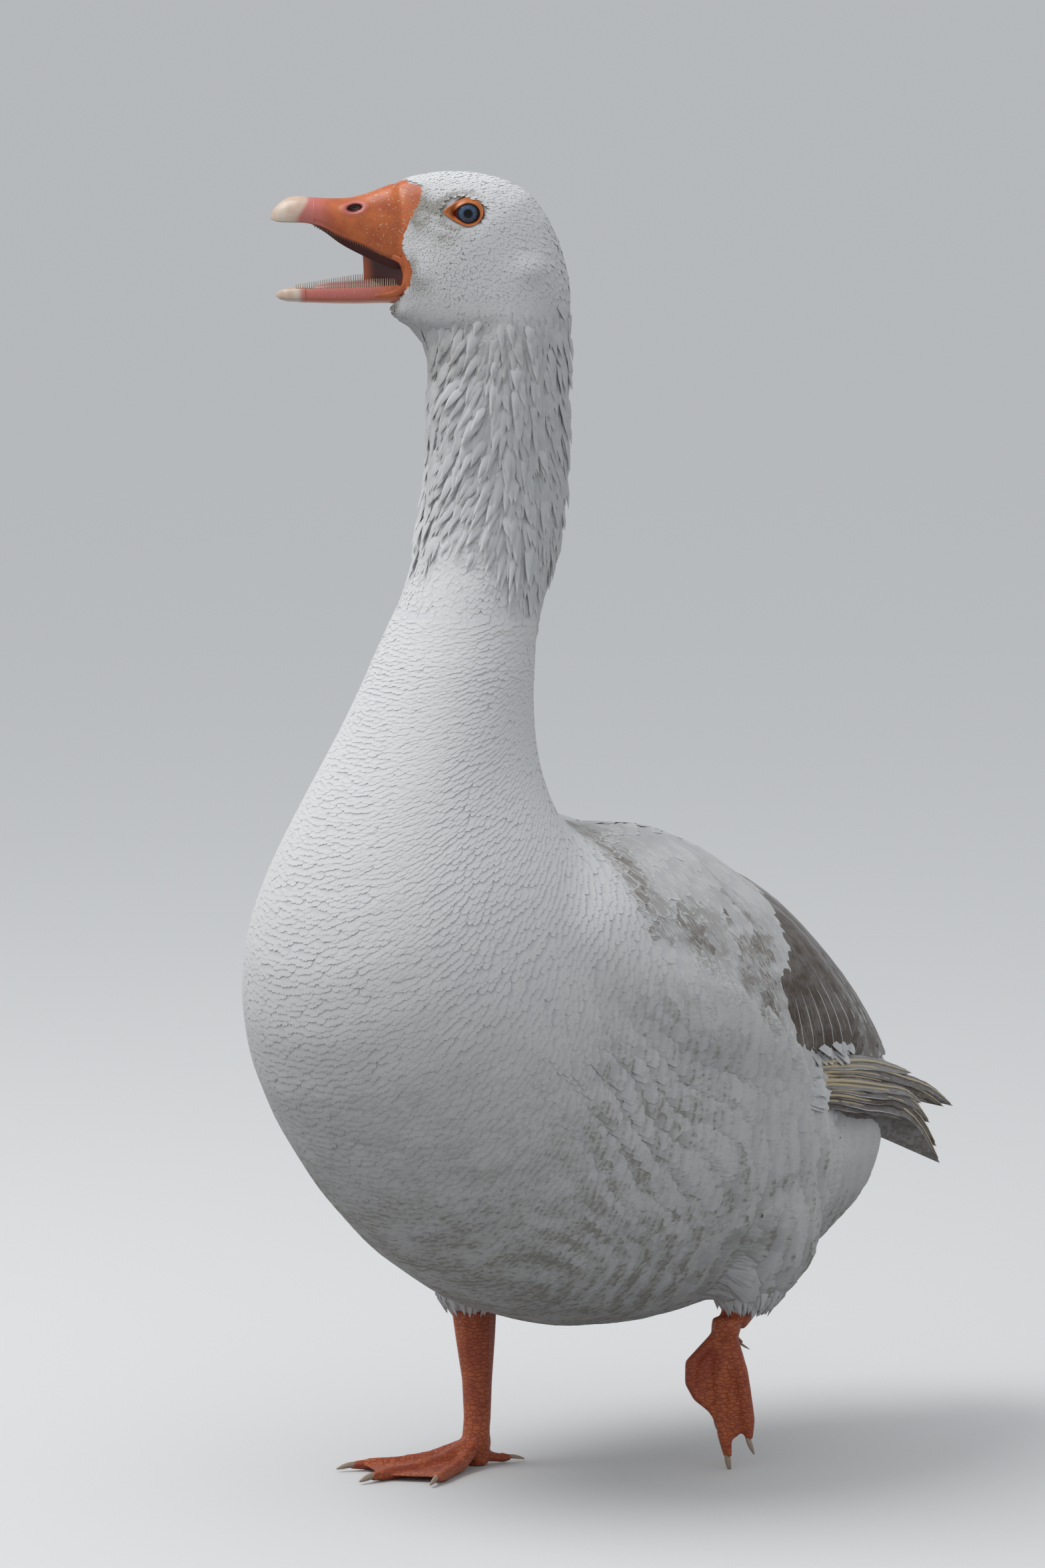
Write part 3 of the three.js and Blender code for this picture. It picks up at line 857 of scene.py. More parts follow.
def tones(places):
    """(brown, mud with painted shade) for places on the bird: 1 is full, and the second may pass it.
    """
    forward, z, x = body_place(places)
    wing = on_wing(places)
    coverts = 1.3 * bell(forward, -50, 19) * bell(z, 304, 26)
    dirty_edge = 0.6 * bell(forward, 33, 13) * smoothstep(z, 322, 345)
    streaked = 0.8 * bell(forward, 2, 17) * bell(z, 333, 18)
    brown = wing * (0.22 + coverts + dirty_edge + streaked)
    # Mud, darker towards the bottom: on the lower breast and belly it is strengthened as painted shade
    # of the underside.
    low = smoothstep(z, 330, 190)
    front = smoothstep(forward, -40, 120)
    flank = bell(forward, 35, 55) * bell(z, 245, 55) * smoothstep(np.abs(x), 40, 85)
    belly = smoothstep(z, 225, 130)
    thighs = bell(np.hypot(forward - 12, x + 56), 0, 30) + bell(np.hypot(forward + 94, x - 74), 0, 30)
    clean = 0.75 * np.clip(thighs, 0, 1) * smoothstep(z, 165, 140)
    beside = smoothstep(np.abs(x), 45, 80)
    banded = 1 + (1.5 * flank_wave(places) - 0.75) * beside * smoothstep(forward, 110, 70)
    sheltered = 0.8 * smoothstep(past_rim(places), 0, 6) * smoothstep(z, 140, 165)
    soil_and_shade = (low * (0.3 + 0.3 * front) + 0.9 * flank + 0.75 * belly) * (1 - wing) * (1 - clean)
    soil_and_shade = soil_and_shade * banded * (1 - sheltered)
    ahead, height, _ = head_place(places)
    lores = 2.2 * bell(ahead, 46, 5.5) * bell(height, 761, 9)
    lores = lores + bell(ahead, 36, 7) * bell(height, 761, 6)
    cheek = bell(ahead, 31, 10) * bell(height, 746, 6)
    # The chin mark is a grey-brown smudge and the painted shadow of the fold under the jaw.
    chin = bell(ahead, 18, 26) * bell(height, 690, 9)
    gape = bell(ahead, 50, 3) * bell(height, 729, 7)
    gape = gape + 0.6 * bell(ahead, 46, 7) * bell(height, 719, 5)
    # A brown line round the lid ring, partly the painted shadow of the lid.
    from_eye = np.hypot((ahead - 21) / 14.5, (height - 762) / 10.5)
    eye_ring = bell(from_eye, 1, 0.14) * smoothstep(ahead, 2, 18)
    smudge = 3.6 * lores + 1.5 * cheek + 2.4 * gape + 1.8 * eye_ring
    soil_and_shade = soil_and_shade + smoothstep(z, 700, 712) * smudge + 1.6 * chin * smoothstep(z, 655, 665)
    return np.clip(brown, 0, 1), np.clip(soil_and_shade, 0, MOST_SOIL_AND_SHADE)


print("most mud on the grid:", round(tones(body_wrap.places)[1].max(), 1))


# %% [markdown]
# ## A small kit for materials
#
# Most trees of nodes here are made of noises, ramps, mixes and sums. Each gets a
# short function, so that a finish reads as a recipe. What is the same all over a
# surface is set on the shader's own socket.


# %% Nodes by name
def new_material(title, colour, roughness, **sockets):
    material = bpy.data.materials.new(title)
    material.use_nodes = True
    shader = material.node_tree.nodes["Principled BSDF"]
    shader.inputs["Base Color"].default_value = (*colour, 1)
    shader.inputs["Roughness"].default_value = roughness
    for name, value in sockets.items():
        shader.inputs[name.replace("_", " ")].default_value = value
    return material


def node(material, kind, inputs=None, **settings):
    made = material.node_tree.nodes.new(kind)
    for name, value in settings.items():
        setattr(made, name, value)
    for socket, value in (inputs or {}).items():
        if isinstance(value, bpy.types.NodeSocket):
            material.node_tree.links.new(value, made.inputs[socket])
        else:
            made.inputs[socket].default_value = value
    return made


def link(material, output, socket):
    shader = material.node_tree.nodes["Principled BSDF"]
    material.node_tree.links.new(output, shader.inputs[socket])


def maths(material, operation, first, second=0, clamp=False):
    made = node(material, "ShaderNodeMath", {0: first, 1: second}, operation=operation)
    made.use_clamp = clamp
    return made.outputs[0]


def times(material, first, second, clamp=False):
    return maths(material, "MULTIPLY", first, second, clamp)


def plus(material, first, second):
    return maths(material, "ADD", first, second)


def ramp(material, value, low, high, start=0, end=1):
    """A value carried smoothly from one range to another."""
    made = node(material, "ShaderNodeMapRange",
                {"Value": value, "From Min": low, "From Max": high, "To Min": start, "To Max": end},
                interpolation_type="SMOOTHSTEP")
    return made.outputs[0]


def mixed(material, share, first, second):
    made = node(material, "ShaderNodeMix", data_type="RGBA")
    for socket, value in ((0, share), (6, first), (7, second)):
        if isinstance(value, bpy.types.NodeSocket):
            material.node_tree.links.new(value, made.inputs[socket])
        elif socket == 0:
            made.inputs[0].default_value = value
        else:
            made.inputs[socket].default_value = (*value, 1)
    return made.outputs[2]


# %% [markdown]
# Textures are laid over the object's own coordinates, so they keep their size on
# every piece. The distance of a bump is in millimetres, and a colour attribute is
# read as its four channels.

# %% Textures and attributes
def object_place(material):
    return node(material, "ShaderNodeTexCoord").outputs["Object"]


def stretched(material, vector, scale):
    return node(material, "ShaderNodeMapping", {"Vector": vector, "Scale": scale}).outputs[0]


def noise(material, scale, vector=None, detail=3, roughness=0.55):
    if vector is None:
        vector = object_place(material)
    made = node(material, "ShaderNodeTexNoise", {"Vector": vector, "Scale": scale,
                                                 "Detail": detail, "Roughness": roughness})
    return made.outputs["Fac"]


def bump(material, height, strength, distance):
    made = node(material, "ShaderNodeBump",
                {"Height": height, "Strength": strength, "Distance": distance * MM})
    link(material, made.outputs[0], "Normal")


def channels(material, title):
    """Red, green and blue of a colour attribute, and its alpha."""
    source = node(material, "ShaderNodeAttribute", attribute_name=title)
    parts = node(material, "ShaderNodeSeparateColor", {"Color": source.outputs["Color"]}).outputs
    return parts["Red"], parts["Green"], parts["Blue"], source.outputs["Alpha"]


print("materials so far:", len(bpy.data.materials))

# %% [markdown]
# ## Plumage
#
# Feathers don't shine, and have fine streaks where barbs lie side by side: a
# noise stretched along each vane, read from the `vane` attribute. Brown, and mud
# with painted shade, come from the `marks` attribute, broken into patches by a
# wandering noise. Each vane also gets painted shade towards its root, where the
# feather in front lies over it.

# %% White, brown and muddy feathers, with painted shade
WHITE = (0.82, 0.82, 0.82)
SHADED_WHITE = (0.66, 0.66, 0.67)
# The last white is painted shade, for the part of a vane under the tip of the feather in front.
PAINTED_SHADE_WHITE = (0.60, 0.61, 0.63)
# The mud colour and its greatest share serve mud and painted shade alike: the shade of the underside,
# under the jaw and along rows of tips.
MUD_AND_SHADE = (0.20, 0.18, 0.13)
MOST_MUD_AND_SHADE = 0.66  # the share of mud in the muddiest place
WING_BROWN = (0.25, 0.215, 0.185)
FLIGHT_BROWN = (0.135, 0.105, 0.085)


def plumage(title, streak, rim_start, tip_start, brown_colour, least):
    """Feathers whose brown stops short of the rim and the tip.

    Streak is the strength of the barbs, and least is how brown a vane stays
    where the noise has broken its brown up.
    """
    material = new_material(title, WHITE, 0.85, Specular_IOR_Level=0.2)
    brown_mark, soil_and_shade_mark, along, across = channels(material, "marks")
    vane = node(material, "ShaderNodeAttribute", attribute_name="vane").outputs["Vector"]
    barbs = noise(material, 1, stretched(material, vane, (1.6, 0.14, 1)), 2)
    flattened = stretched(material, object_place(material), (1, 1, 2.6))
    patches = noise(material, 30, flattened, 5, 0.65)
    streaks = ramp(material, barbs, 0.35, 0.7)
    white = mixed(material, times(material, streaks, streak), WHITE, SHADED_WHITE)
    # Painted shade: each vane darkens towards its root, under the tip of the feather in front.
    white = mixed(material, ramp(material, along, 0.62, 0.84, 0.45, 0), white, PAINTED_SHADE_WHITE)
    rim = ramp(material, across, 0.98, rim_start)
    tip = ramp(material, along, 0.998, tip_start)
    middle = times(material, rim, tip)
    broken = ramp(material, plus(material, barbs, patches), 0.85, 1.1, least, 1)
    centre = times(material, middle, broken)
    brown = times(material, brown_mark, centre, True)
    washed = mixed(material, brown, white, brown_colour)
    # A dark line near each tip and a broad wash, both scaled by the mud channel: mud, and painted
    # shade that shows the rows of tips on the lower body.
    band = times(material, ramp(material, along, 0.8, 0.88, 0.12, 1),
                 ramp(material, along, 0.93, 0.99, 1, 0.3))
    fine = times(material, noise(material, 170, flattened, 2), 0.6)
    speckled = plus(material, fine, times(material, patches, 0.4))
    lines = times(material, band, ramp(material, speckled, 0.40, 0.68, 0, 0.62))
    wash = ramp(material, patches, 0.25, 0.75, 0.06, 0.3)
    grime_and_shade = times(material, soil_and_shade_mark, plus(material, lines, wash))
    grime_and_shade = maths(material, "MINIMUM", grime_and_shade, MOST_MUD_AND_SHADE)
    link(material, mixed(material, grime_and_shade, washed, MUD_AND_SHADE), "Base Color")
    bump(material, barbs, 0.3, 0.2)
    return material


PLUMAGE = plumage("plumage", 0.3, 0.4, 0.9, WING_BROWN, 0.2)
FLIGHT = plumage("flight_feathers", 0.7, 0.84, 0.97, FLIGHT_BROWN, 0.8)
print("nodes in the plumage:", len(PLUMAGE.node_tree.nodes))

# %% [markdown]
# The skin shows between feathers, so it has the same two attributes, with every
# place standing for the middle of a vane.


# %% The skin's own marks
def mark_skin(surface):
    """The skin carries the coat's own tones."""
    places = places_of(surface)
    brown, soil_and_shade = tones(places)
    marks = surface.data.attributes.new("marks", "FLOAT_COLOR", "POINT")
    flat = np.stack((brown, soil_and_shade, np.full_like(brown, 0.5), np.full_like(brown, 0.4)), axis=-1)
    marks.data.foreach_set("color", flat.ravel())
    vane = surface.data.attributes.new("vane", "FLOAT_VECTOR", "POINT")
    vane.data.foreach_set("vector", places.ravel())
    surface.data.materials.append(PLUMAGE)


mark_skin(skin)
print("brown on the skin, at most:", round(tones(places_of(skin))[0].max(), 2))

# %% [markdown]
# ## Parting the coat
#
# The coat is made in pieces, each with its own size of feather: tiny on the face,
# pointed on the neck, soft on breast, flanks and belly, broad on the wings. All
# roots are set out at once, so that rows run on from one region to the next.


# %% Roots over the whole body
def spread(number, amount):
    return dice.normal(0, amount, number)


def feather_length(places):
    """Length of the contour feathers, in millimetres."""
    forward, z, x = body_place(places)
    ahead, _, _ = head_place(places)
    face = smoothstep(z, 690, 705) * smoothstep(ahead, 15, 50)
    neck = smoothstep(z, 712, 690)
    body = smoothstep(z, 480, 330)
    flank = smoothstep(forward, 110, -30) * smoothstep(np.abs(x), 40, 80)
    rear = smoothstep(forward, 60, -80)
    wing = on_wing(places)
    length = 5 - 2 * face + 5 * neck + 3 * body + 5 * rear + 9 * flank * body
    length = length + 15 * scapulars(places)
    wanted = 6 + 54 * smoothstep(forward, 60, -30)
    room = np.maximum(past_rim(places), 0) * 1.8 + 3
    before_tips = np.maximum((forward + 96 + 0.35 * (z - 262)) / 0.85, 10)
    wanted = np.minimum(wanted, before_tips)
    return length + wing * np.where(z < 330, np.minimum(wanted, room), wanted)


lengths = feather_length(body_wrap.places)
wing_field = on_wing(body_wrap.places)
flank_field = smoothstep(lengths, 12, 20) * (1 - wing_field)
row_gap = (0.34 + 0.08 * wing_field - 0.06 * flank_field) * lengths
row_width = (0.38 - 0.08 * wing_field - 0.10 * flank_field) * lengths
roots_down, roots_turn = row_roots(body_wrap, row_gap, row_width)
roots = body_wrap.read(body_wrap.places, roots_down, roots_turn)
print("roots over the body:", len(roots))

# %% [markdown]
# No feather grows on the bill, round the eye or on the bare skin of the face,
# whose edge isn't ruled either: each root is judged with a little chance.

# %% Bare places on the face
BILL = ["bill_upper", "bill_lower", "bill_upper_nail", "bill_lower_nail"]
bill_solid = copy_of("bill_solid", BILL)
bill_tree = BVHTree.FromObject(bill_solid, bpy.context.evaluated_depsgraph_get())
CLEARANCE = 0.6
EYE_AHEAD, EYE_HEIGHT = 18.0, 761.0
# The edge of the plumage, from the chin to the brow: height and ahead.
BARE_LINE = np.array([(700, 72), (706, 68), (710, 61), (713, 57), (718, 53.5), (723, 51.5),
                      (729, 51), (734, 53.5), (740, 57), (747, 57.5), (755, 55), (763, 51),
                      (769, 47.5), (774, 45.5), (777, 47), (780, 56), (782, 63)], dtype=float)


def clear_of_bill(places):
    """True where a place is a little away from the horn of the bill."""
    near = [bill_tree.find_nearest((place * MM).tolist())[3] for place in places]
    return np.array(near) > CLEARANCE * MM


def bare_line(height):
    """How far ahead the plumage reaches at each height of the face."""
    return np.interp(height, *BARE_LINE.T)


in_head = roots[:, 2] > 690
free = np.ones(len(roots), dtype=bool)
free[in_head] = clear_of_bill(roots[in_head])
ahead, height, side = head_place(roots)
bare = ahead > bare_line(height) + spread(len(roots), 0.25)
near_eye = np.hypot((ahead - EYE_AHEAD - 4.4) / 14.2, (height - EYE_HEIGHT - 1.2) / 9.2) < 1
free &= ~(in_head & (bare | near_eye))
print("roots left out on the face:", int((~free).sum()))

# %% [markdown]
# ## Head, body and belly feathers
#
# Regions are told apart by height and by how far forward a root is. Lengths,
# widths and directions vary a little, so that no row looks ruled.


# %% Contour feathers
BAND_LOFT = 1.2


def flank_bands(places):
    """Soft waves on the flank, where rows of tips lie."""
    _, z, x = body_place(places)
    gap = past_rim(places)
    here = smoothstep(gap, -150, -90) * smoothstep(gap, 0, -8)
    here = here * smoothstep(np.abs(x), 45, 80) * smoothstep(z, 300, 270)
    return BAND_LOFT * here * flank_wave(places)


def lay_region(coat, chosen, vanes, slim, steep, wander, yaw=None, crown=0.03):
    """Lays the roots that a mask picks out, sharing them among a few vanes.

    Slim is half width to length, steep is rise to length, and wander and yaw
    turn a feather aside from the way down the body.
    """
    picked = np.flatnonzero(chosen)
    kinds = dice.integers(0, len(vanes), len(picked))
    for kind, vane in enumerate(vanes):
        rows = picked[kinds == kind]
        number = len(rows)
        if number == 0:
            continue
        here = roots[rows]
        at_forward, z, x = body_place(here)
        length = feather_length(here) * np.exp(spread(number, 0.07))
        half = slim * length * np.exp(spread(number, 0.06))
        veer = spread(number, wander) + (0 if yaw is None else yaw[rows])
        lifted = bell(past_rim(here), 0, 12) * smoothstep(np.abs(x), 50, 80) * (z < 330)
        back = smoothstep(z, 250, 320) * smoothstep(at_forward, 50, -10)
        back = back * smoothstep(np.abs(x), 75, 45)
        rise = steep * length * (1 - 0.6 * back) + 0.8 * lifted
        loft = np.clip(coat_depth(here) - rise, 0.1, 1.7) + flank_bands(here)
        loft = loft + spread(number, 0.04)
        path = walk(body_wrap, roots_down[rows], roots_turn[rows], length, veer)
        brown, soil_and_shade = tones(body_wrap.read(body_wrap.places, path[0][SHOWN], path[1][SHOWN]))
        brown = np.clip(brown * dice.uniform(0.7, 1.15, number), 0, 1)
        lay(coat, body_wrap, vane, path, half, rise, loft, (brown, soil_and_shade), crown)


head_part = (roots[:, 2] >= 690) & free
head_coat = Coat()
lay_region(head_coat, head_part, TINY, 0.31, 0.06, 0.10, crown=0.06)
# A few tufts stand up on the nape.
nape = 1 - smoothstep(np.abs((roots_turn / ROUND + 0.5) % 1 - 0.5), 0.05, 0.16)
tufted = head_part & (height < 775) & (dice.uniform(0, 1, len(roots)) < 0.05 * nape)
lay_region(head_coat, tufted, LOCK, 0.4, 0.3, 0.25, crown=0.2)
head_coat.finish("head_feathers", PLUMAGE)

# %% [markdown]
# From the neck to the tail the feathers are soft, and a coat of them all would
# be too large for one mesh. It is parted where a seam can't show, because the
# rows run on. Beside the wings they are longer and turn outwards over its edge.

# %% Breast, sides and rear
wing_share = on_wing(roots) > 0.5
forward = HIPS - roots[:, 1]
lower = (roots[:, 2] <= 530) & ~wing_share
outward_yaw = np.radians(42) * scapulars(roots) * np.sign(roots[:, 0])
front, rear = lower & (forward > 60), lower & (forward <= -70)
for title, part in (("breast_feathers_upper", front & (roots[:, 2] > 380)),
                    ("breast_feathers_lower", front & (roots[:, 2] <= 380)),
                    ("middle_feathers", lower & ~front & ~rear),
                    ("rear_feathers_upper", rear & (roots[:, 2] > 210)),
                    ("rear_feathers_lower", rear & (roots[:, 2] <= 210))):
    coat = Coat()
    lay_region(coat, part, SOFT, 0.33, 0.085, 0.05, outward_yaw)
    coat.finish(title, PLUMAGE)

# %% [markdown]
# ## Wings
#
# The coverts are broad and lie in rows that drop towards the rear, so their
# paths veer from the way down the body. They end where the long feathers begin.

# %% Coverts
COVERT_LIMIT = -92.0  # how far forward the last of them stand
wing_yaw = np.radians(40 + 16 * smoothstep(forward, 50, 0))
wing_yaw = np.where(roots[:, 0] > 0, wing_yaw, -wing_yaw)
for hand in (LEFT, RIGHT):
    coat = Coat()
    chosen = wing_share & (roots[:, 0] * hand > 0) & (forward > COVERT_LIMIT)
    lay_region(coat, chosen, BROAD, 0.28, 0.03, 0.05, wing_yaw, 0.05)
    coat.finish(f"coverts_{SIDE_NAME[hand]}", PLUMAGE)

# %% [markdown]
# From under the coverts the long inner feathers fan out, from almost straight
# down to almost straight back. There are few of them, so each is drawn from a
# root on one line to a tip on another, and the dark ones are in front.

# %% The long inner feathers
INNER_FEATHERS = 13
# Lines of roots and of tips: forward, height and side.
INNER_ROOTS = [(-62, 318, 115), (-76, 338, 104), (-86, 358, 76), (-88, 370, 40)]
INNER_TIPS = [(-74, 260, 121), (-112, 254, 113), (-150, 250, 100), (-205, 240, 78),
              (-222, 250, 52)]


def mirrored(stations, hand):
    return np.array([at(forward, height, hand * side) for forward, height, side in stations])


for hand in (LEFT, RIGHT):
    coat = Coat()
    starts = mirrored(even_line(INNER_ROOTS, INNER_FEATHERS), hand)
    ends = mirrored(even_line(INNER_TIPS, INNER_FEATHERS), hand)
    order = np.linspace(0, 1, INNER_FEATHERS)
    path = between(body_wrap, starts, ends, bow=-6 * hand)
    brown = np.clip(1.15 - 0.6 * order + spread(INNER_FEATHERS, 0.12), 0, 1)
    lay(coat, body_wrap, QUILL[0], path, 8.5 + 6 * order, np.ones(INNER_FEATHERS),
        2 + 2.5 * order, (brown, np.zeros(INNER_FEATHERS)), crown=0.07, tilt=-hand * 0.9)
    coat.finish(f"inner_quills_{SIDE_NAME[hand]}", FLIGHT)


# %% [markdown]
# ## Hand feathers and tail
#
# These stand free of the body, so each is bent along a curve in the air: a
# narrow vane to either side of a stout cream shaft. The bird is moulting, and
# the ones that show are frayed.


# %% Curves in the air, and a feather along one
def eased(marks, values, where, ends=(-np.inf, np.inf)):
    """A smooth curve through values at marks, read where it is wanted."""
    slopes = np.gradient(values, marks, axis=0)
    cell = np.clip(np.searchsorted(marks, where, side="right") - 1, 0, len(marks) - 2)
    step = marks[cell + 1] - marks[cell]
    u = np.clip((where - marks[cell]) / step, *ends)
    if values.ndim > 1:
        step, u = step[:, None], u[:, None]
    return ((2 * u**3 - 3 * u**2 + 1) * values[cell] + (u**3 - 2 * u**2 + u) * (slopes[cell] * step)
            + (3 * u**2 - 2 * u**3) * values[cell + 1] + (u**3 - u**2) * (slopes[cell + 1] * step))


def bent(points, shares):
    """Places on a smooth curve through a few points."""
    return eased(np.linspace(0, 1, len(points)), np.array(points, dtype=float), shares)


def frame_along(points, outward, shares):
    """A curve's places, and the ways across it and out of it."""
    spine = bent(points, shares)
    ahead = unit(bent(points, shares + 0.01) - bent(points, shares - 0.01))
    across = unit(np.cross(ahead, outward))
    return spine, across, np.cross(across, ahead)


def free_quill(coat, shafts, vane, points, outward, half, brown, lean=0):
    """One feather along a curve, its vane facing outward, and its shaft."""
    side, share, ridge = vane.points.T
    spine, across, face = frame_along(points, outward, share)
    fray = 1 + dice.uniform(-0.16, 0.1, len(side)) * (np.abs(side) > 0.2)
    width = half * (side * fray + lean * np.abs(side))
    droop = -0.10 * half * side**2
    places = spine + across * width[:, None] + face * (0.05 * half * ridge + droop)[:, None]
    root = dice.uniform(0.1, 0.9, (1, 2))
    length = np.linalg.norm(np.diff(bent(points, np.linspace(0, 1, 9)), axis=0), axis=1).sum()
    coat.add(places[None], vane, patches_for(vane, root),
             marks_for(vane, np.array([brown]), np.zeros(1)), np.array([length]), np.array([half]))
    shafts.append((points, outward))


print("faces of a pointed quill:", len(POINTED[0].faces))

# %% [markdown]
# A shaft is a rod of six sides that tapers to the tip, half sunk in its vane.
# An operator turns the faces of meshes like this outwards.

# %% Shafts
SHAFT_SIDES, SHAFT_RINGS = 6, 12
SHAFT_CREAM = new_material("shaft", (0.70, 0.58, 0.38), 0.4)


def piece_of(title, vertices, faces, finish):
    """A new object from places and faces, all turned outwards."""
    mesh = bpy.data.meshes.new(title)
    mesh.from_pydata((np.array(vertices) * MM).tolist(), [], faces)
    mesh.materials.append(finish)
    made = new_object(title, mesh)
    edit_all(made, bpy.ops.mesh.normals_make_consistent, inside=False)
    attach(made, "root")
    print(f"{title}: {len(faces)} faces")
    return made


def shaft_mesh(title, shafts, radius, finish):
    """Tapering rods along the middles of quills, as one mesh."""
    vertices, faces = [], []
    shares = np.linspace(0.02, 0.97, SHAFT_RINGS)
    girth = radius * (1 - 0.8 * shares)[:, None]
    for points, outward in shafts:
        spine, across, face = frame_along(points, outward, shares)
        first = len(vertices)
        for angle in np.linspace(0, math.tau, SHAFT_SIDES, endpoint=False):
            sunk = 0.9 + math.sin(angle)
            vertices.extend(spine + across * girth * math.cos(angle) + face * girth * sunk)
        starts = [first + i * SHAFT_RINGS for i in range(SHAFT_SIDES)]
        for here, there in zip(starts, starts[1:] + starts[:1]):
            faces += [(here + k, there + k, there + k + 1, here + k + 1)
                      for k in range(SHAFT_RINGS - 1)]
        faces.append(starts[::-1])
        faces.append([start + SHAFT_RINGS - 1 for start in starts])
    rods = piece_of(title, vertices, faces, finish)
    smooth = [len(face.vertices) == 4 for face in rods.data.polygons]
    rods.data.polygons.foreach_set("use_smooth", smooth)


# %% [markdown]
# The hand feathers form two bundles, one above the other. Each bundle follows a
# line, and its feathers leave the line at different shares of the way.

# %% Hand feathers
# The lines of the bundles: forward, height and side.
UPPER_LINE = [(-90, 247, 110), (-130, 244, 107), (-172, 238, 97), (-216, 226, 84),
              (-262, 213, 65), (-303, 195, 48)]
LOWER_LINE = [(-92, 230, 109), (-130, 228, 107), (-172, 219, 97), (-216, 209, 84),
              (-258, 190, 64), (-294, 162, 47)]
# Their feathers: how far out, share of the way, lift and brown.
UPPER_HAND = [(0, 0.74, -9, 0.9), (0.9, 0.84, -6, 0.8), (1.8, 0.93, -3, 0.95),
              (2.7, 1.00, 1, 0.75), (3.6, 0.66, 5, 0.55)]
LOWER_HAND = [(0, 0.70, -5, 0.9), (0.9, 1.00, -1, 0.8), (1.8, 0.95, 3, 0.95),
              (2.7, 0.86, 7, 0.75), (3.6, 0.76, 10, 0.6)]
HAND_HALF, HAND_SHAFT = 4.8, 1.55  # half a vane's width, and a shaft's radius

for hand in (LEFT, RIGHT):
    coat, shafts = Coat(), []
    outward = np.array((hand * 0.9, 0.2, 0.3))
    for stations, group in ((UPPER_LINE, UPPER_HAND), (LOWER_LINE, LOWER_HAND)):
        line = mirrored(stations, hand)
        for out, reach, lift, brown in group:
            shares = np.linspace(0, reach, 6)
            points = bent(line, shares)
            points[:, 0] += hand * out
            points[:, 2] += lift * (0.75 + 0.5 * shares)
            kind = POINTED[len(shafts) % 2]
            free_quill(coat, shafts, kind, points, outward, HAND_HALF, brown, lean=0.2 * hand)
    coat.finish(f"hand_quills_{SIDE_NAME[hand]}", FLIGHT, "flight")
    shaft_mesh(f"shafts_{SIDE_NAME[hand]}", shafts, HAND_SHAFT, SHAFT_CREAM)

# %% [markdown]
# Where the hand feathers leave the wing, white down hides their roots. Some of
# it comes from under the long inner feathers and hangs over the shafts, and
# some points back from the edge of the flank.

# %% White down where the hand feathers leave the wing
# Rows of roots, from one place to another, with the way that the down points.
HANGING, SWEPT_BACK = (-0.12, 0.8, -0.5), (-0.2, 0.95, -0.16)
DOWN_ROWS = [((-90, 265, 121), (-136, 262, 107), HANGING),
             ((-92, 261, 119), (-136, 258, 105), HANGING),
             ((-94, 258, 117), (-137, 254, 103), HANGING),
             ((-89, 252, 120), (-92, 226, 123), SWEPT_BACK),
             ((-94, 250, 118), (-98, 227, 119), SWEPT_BACK),
             ((-99, 248, 114), (-104, 228, 115), SWEPT_BACK)]
DOWN_IN_ROW = 15
for hand in (LEFT, RIGHT):
    coat = Coat()
    for first, last, aim in DOWN_ROWS:
        for i in range(DOWN_IN_ROW):
            share = (i + dice.uniform(0, 1)) / DOWN_IN_ROW
            place = np.array(first) * (1 - share) + np.array(last) * share
            root = at(*(place * (1, 1, hand) + dice.normal(0, 0.7, 3)))
            ahead = unit(np.array(aim) * (hand, 1, 1) + dice.normal(0, 0.07, 3))
            outward = np.array((hand * 0.9, 0.25, 0.35)) + dice.normal(0, 0.06, 3)
            reach = dice.uniform(15, 24)
            points = [root, root + ahead * reach * 0.5 + outward * 1.8,
                      root + ahead * reach + outward * 0.6]
            free_quill(coat, [], SOFT[i % 3], points, outward,
                       dice.uniform(2.6, 3.8), dice.uniform(0, 0.3))
    coat.finish(f"wing_down_{SIDE_NAME[hand]}", PLUMAGE)

# %% [markdown]
# The tail is a fan of twelve feathers, the middle ones on top. All the free
# feathers then stand for the solids that held their place.

# %% Tail
TAIL_FEATHERS = 12
TAIL_HALF, TAIL_SHAFT = 7.0, 0.55
TAIL_BROWN = 0.22
coat, shafts = Coat(), []
for i in range(TAIL_FEATHERS):
    fan = i / (TAIL_FEATHERS - 1) * 2 - 1
    layer = 4.2 * (1 - abs(fan))
    end = -303 + 16 * abs(fan) + dice.uniform(-3, 3)
    points = [at(-200, 212 + layer, 9 * fan), at(-245, 208 + layer, 21 * fan),
              at(end + 18, 204 + layer, 31 * fan), at(end, 201 + layer, 36 * fan)]
    outward = np.array((0.25 * fan, 0.15, 1))
    free_quill(coat, shafts, QUILL[0], points, outward, TAIL_HALF, TAIL_BROWN)
coat.finish("tail_quills", FLIGHT, "flight")
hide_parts("primaries_upper_left", "primaries_lower_left")
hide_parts("primaries_upper_right", "primaries_lower_right")
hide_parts("tail")

# %% [markdown]
# Rows of coverts above and below the tail run out from the rump and hide the
# place where it starts. The outer ones bend in, as the rump is round.

# %% Tail coverts
TAIL_ROW = 13
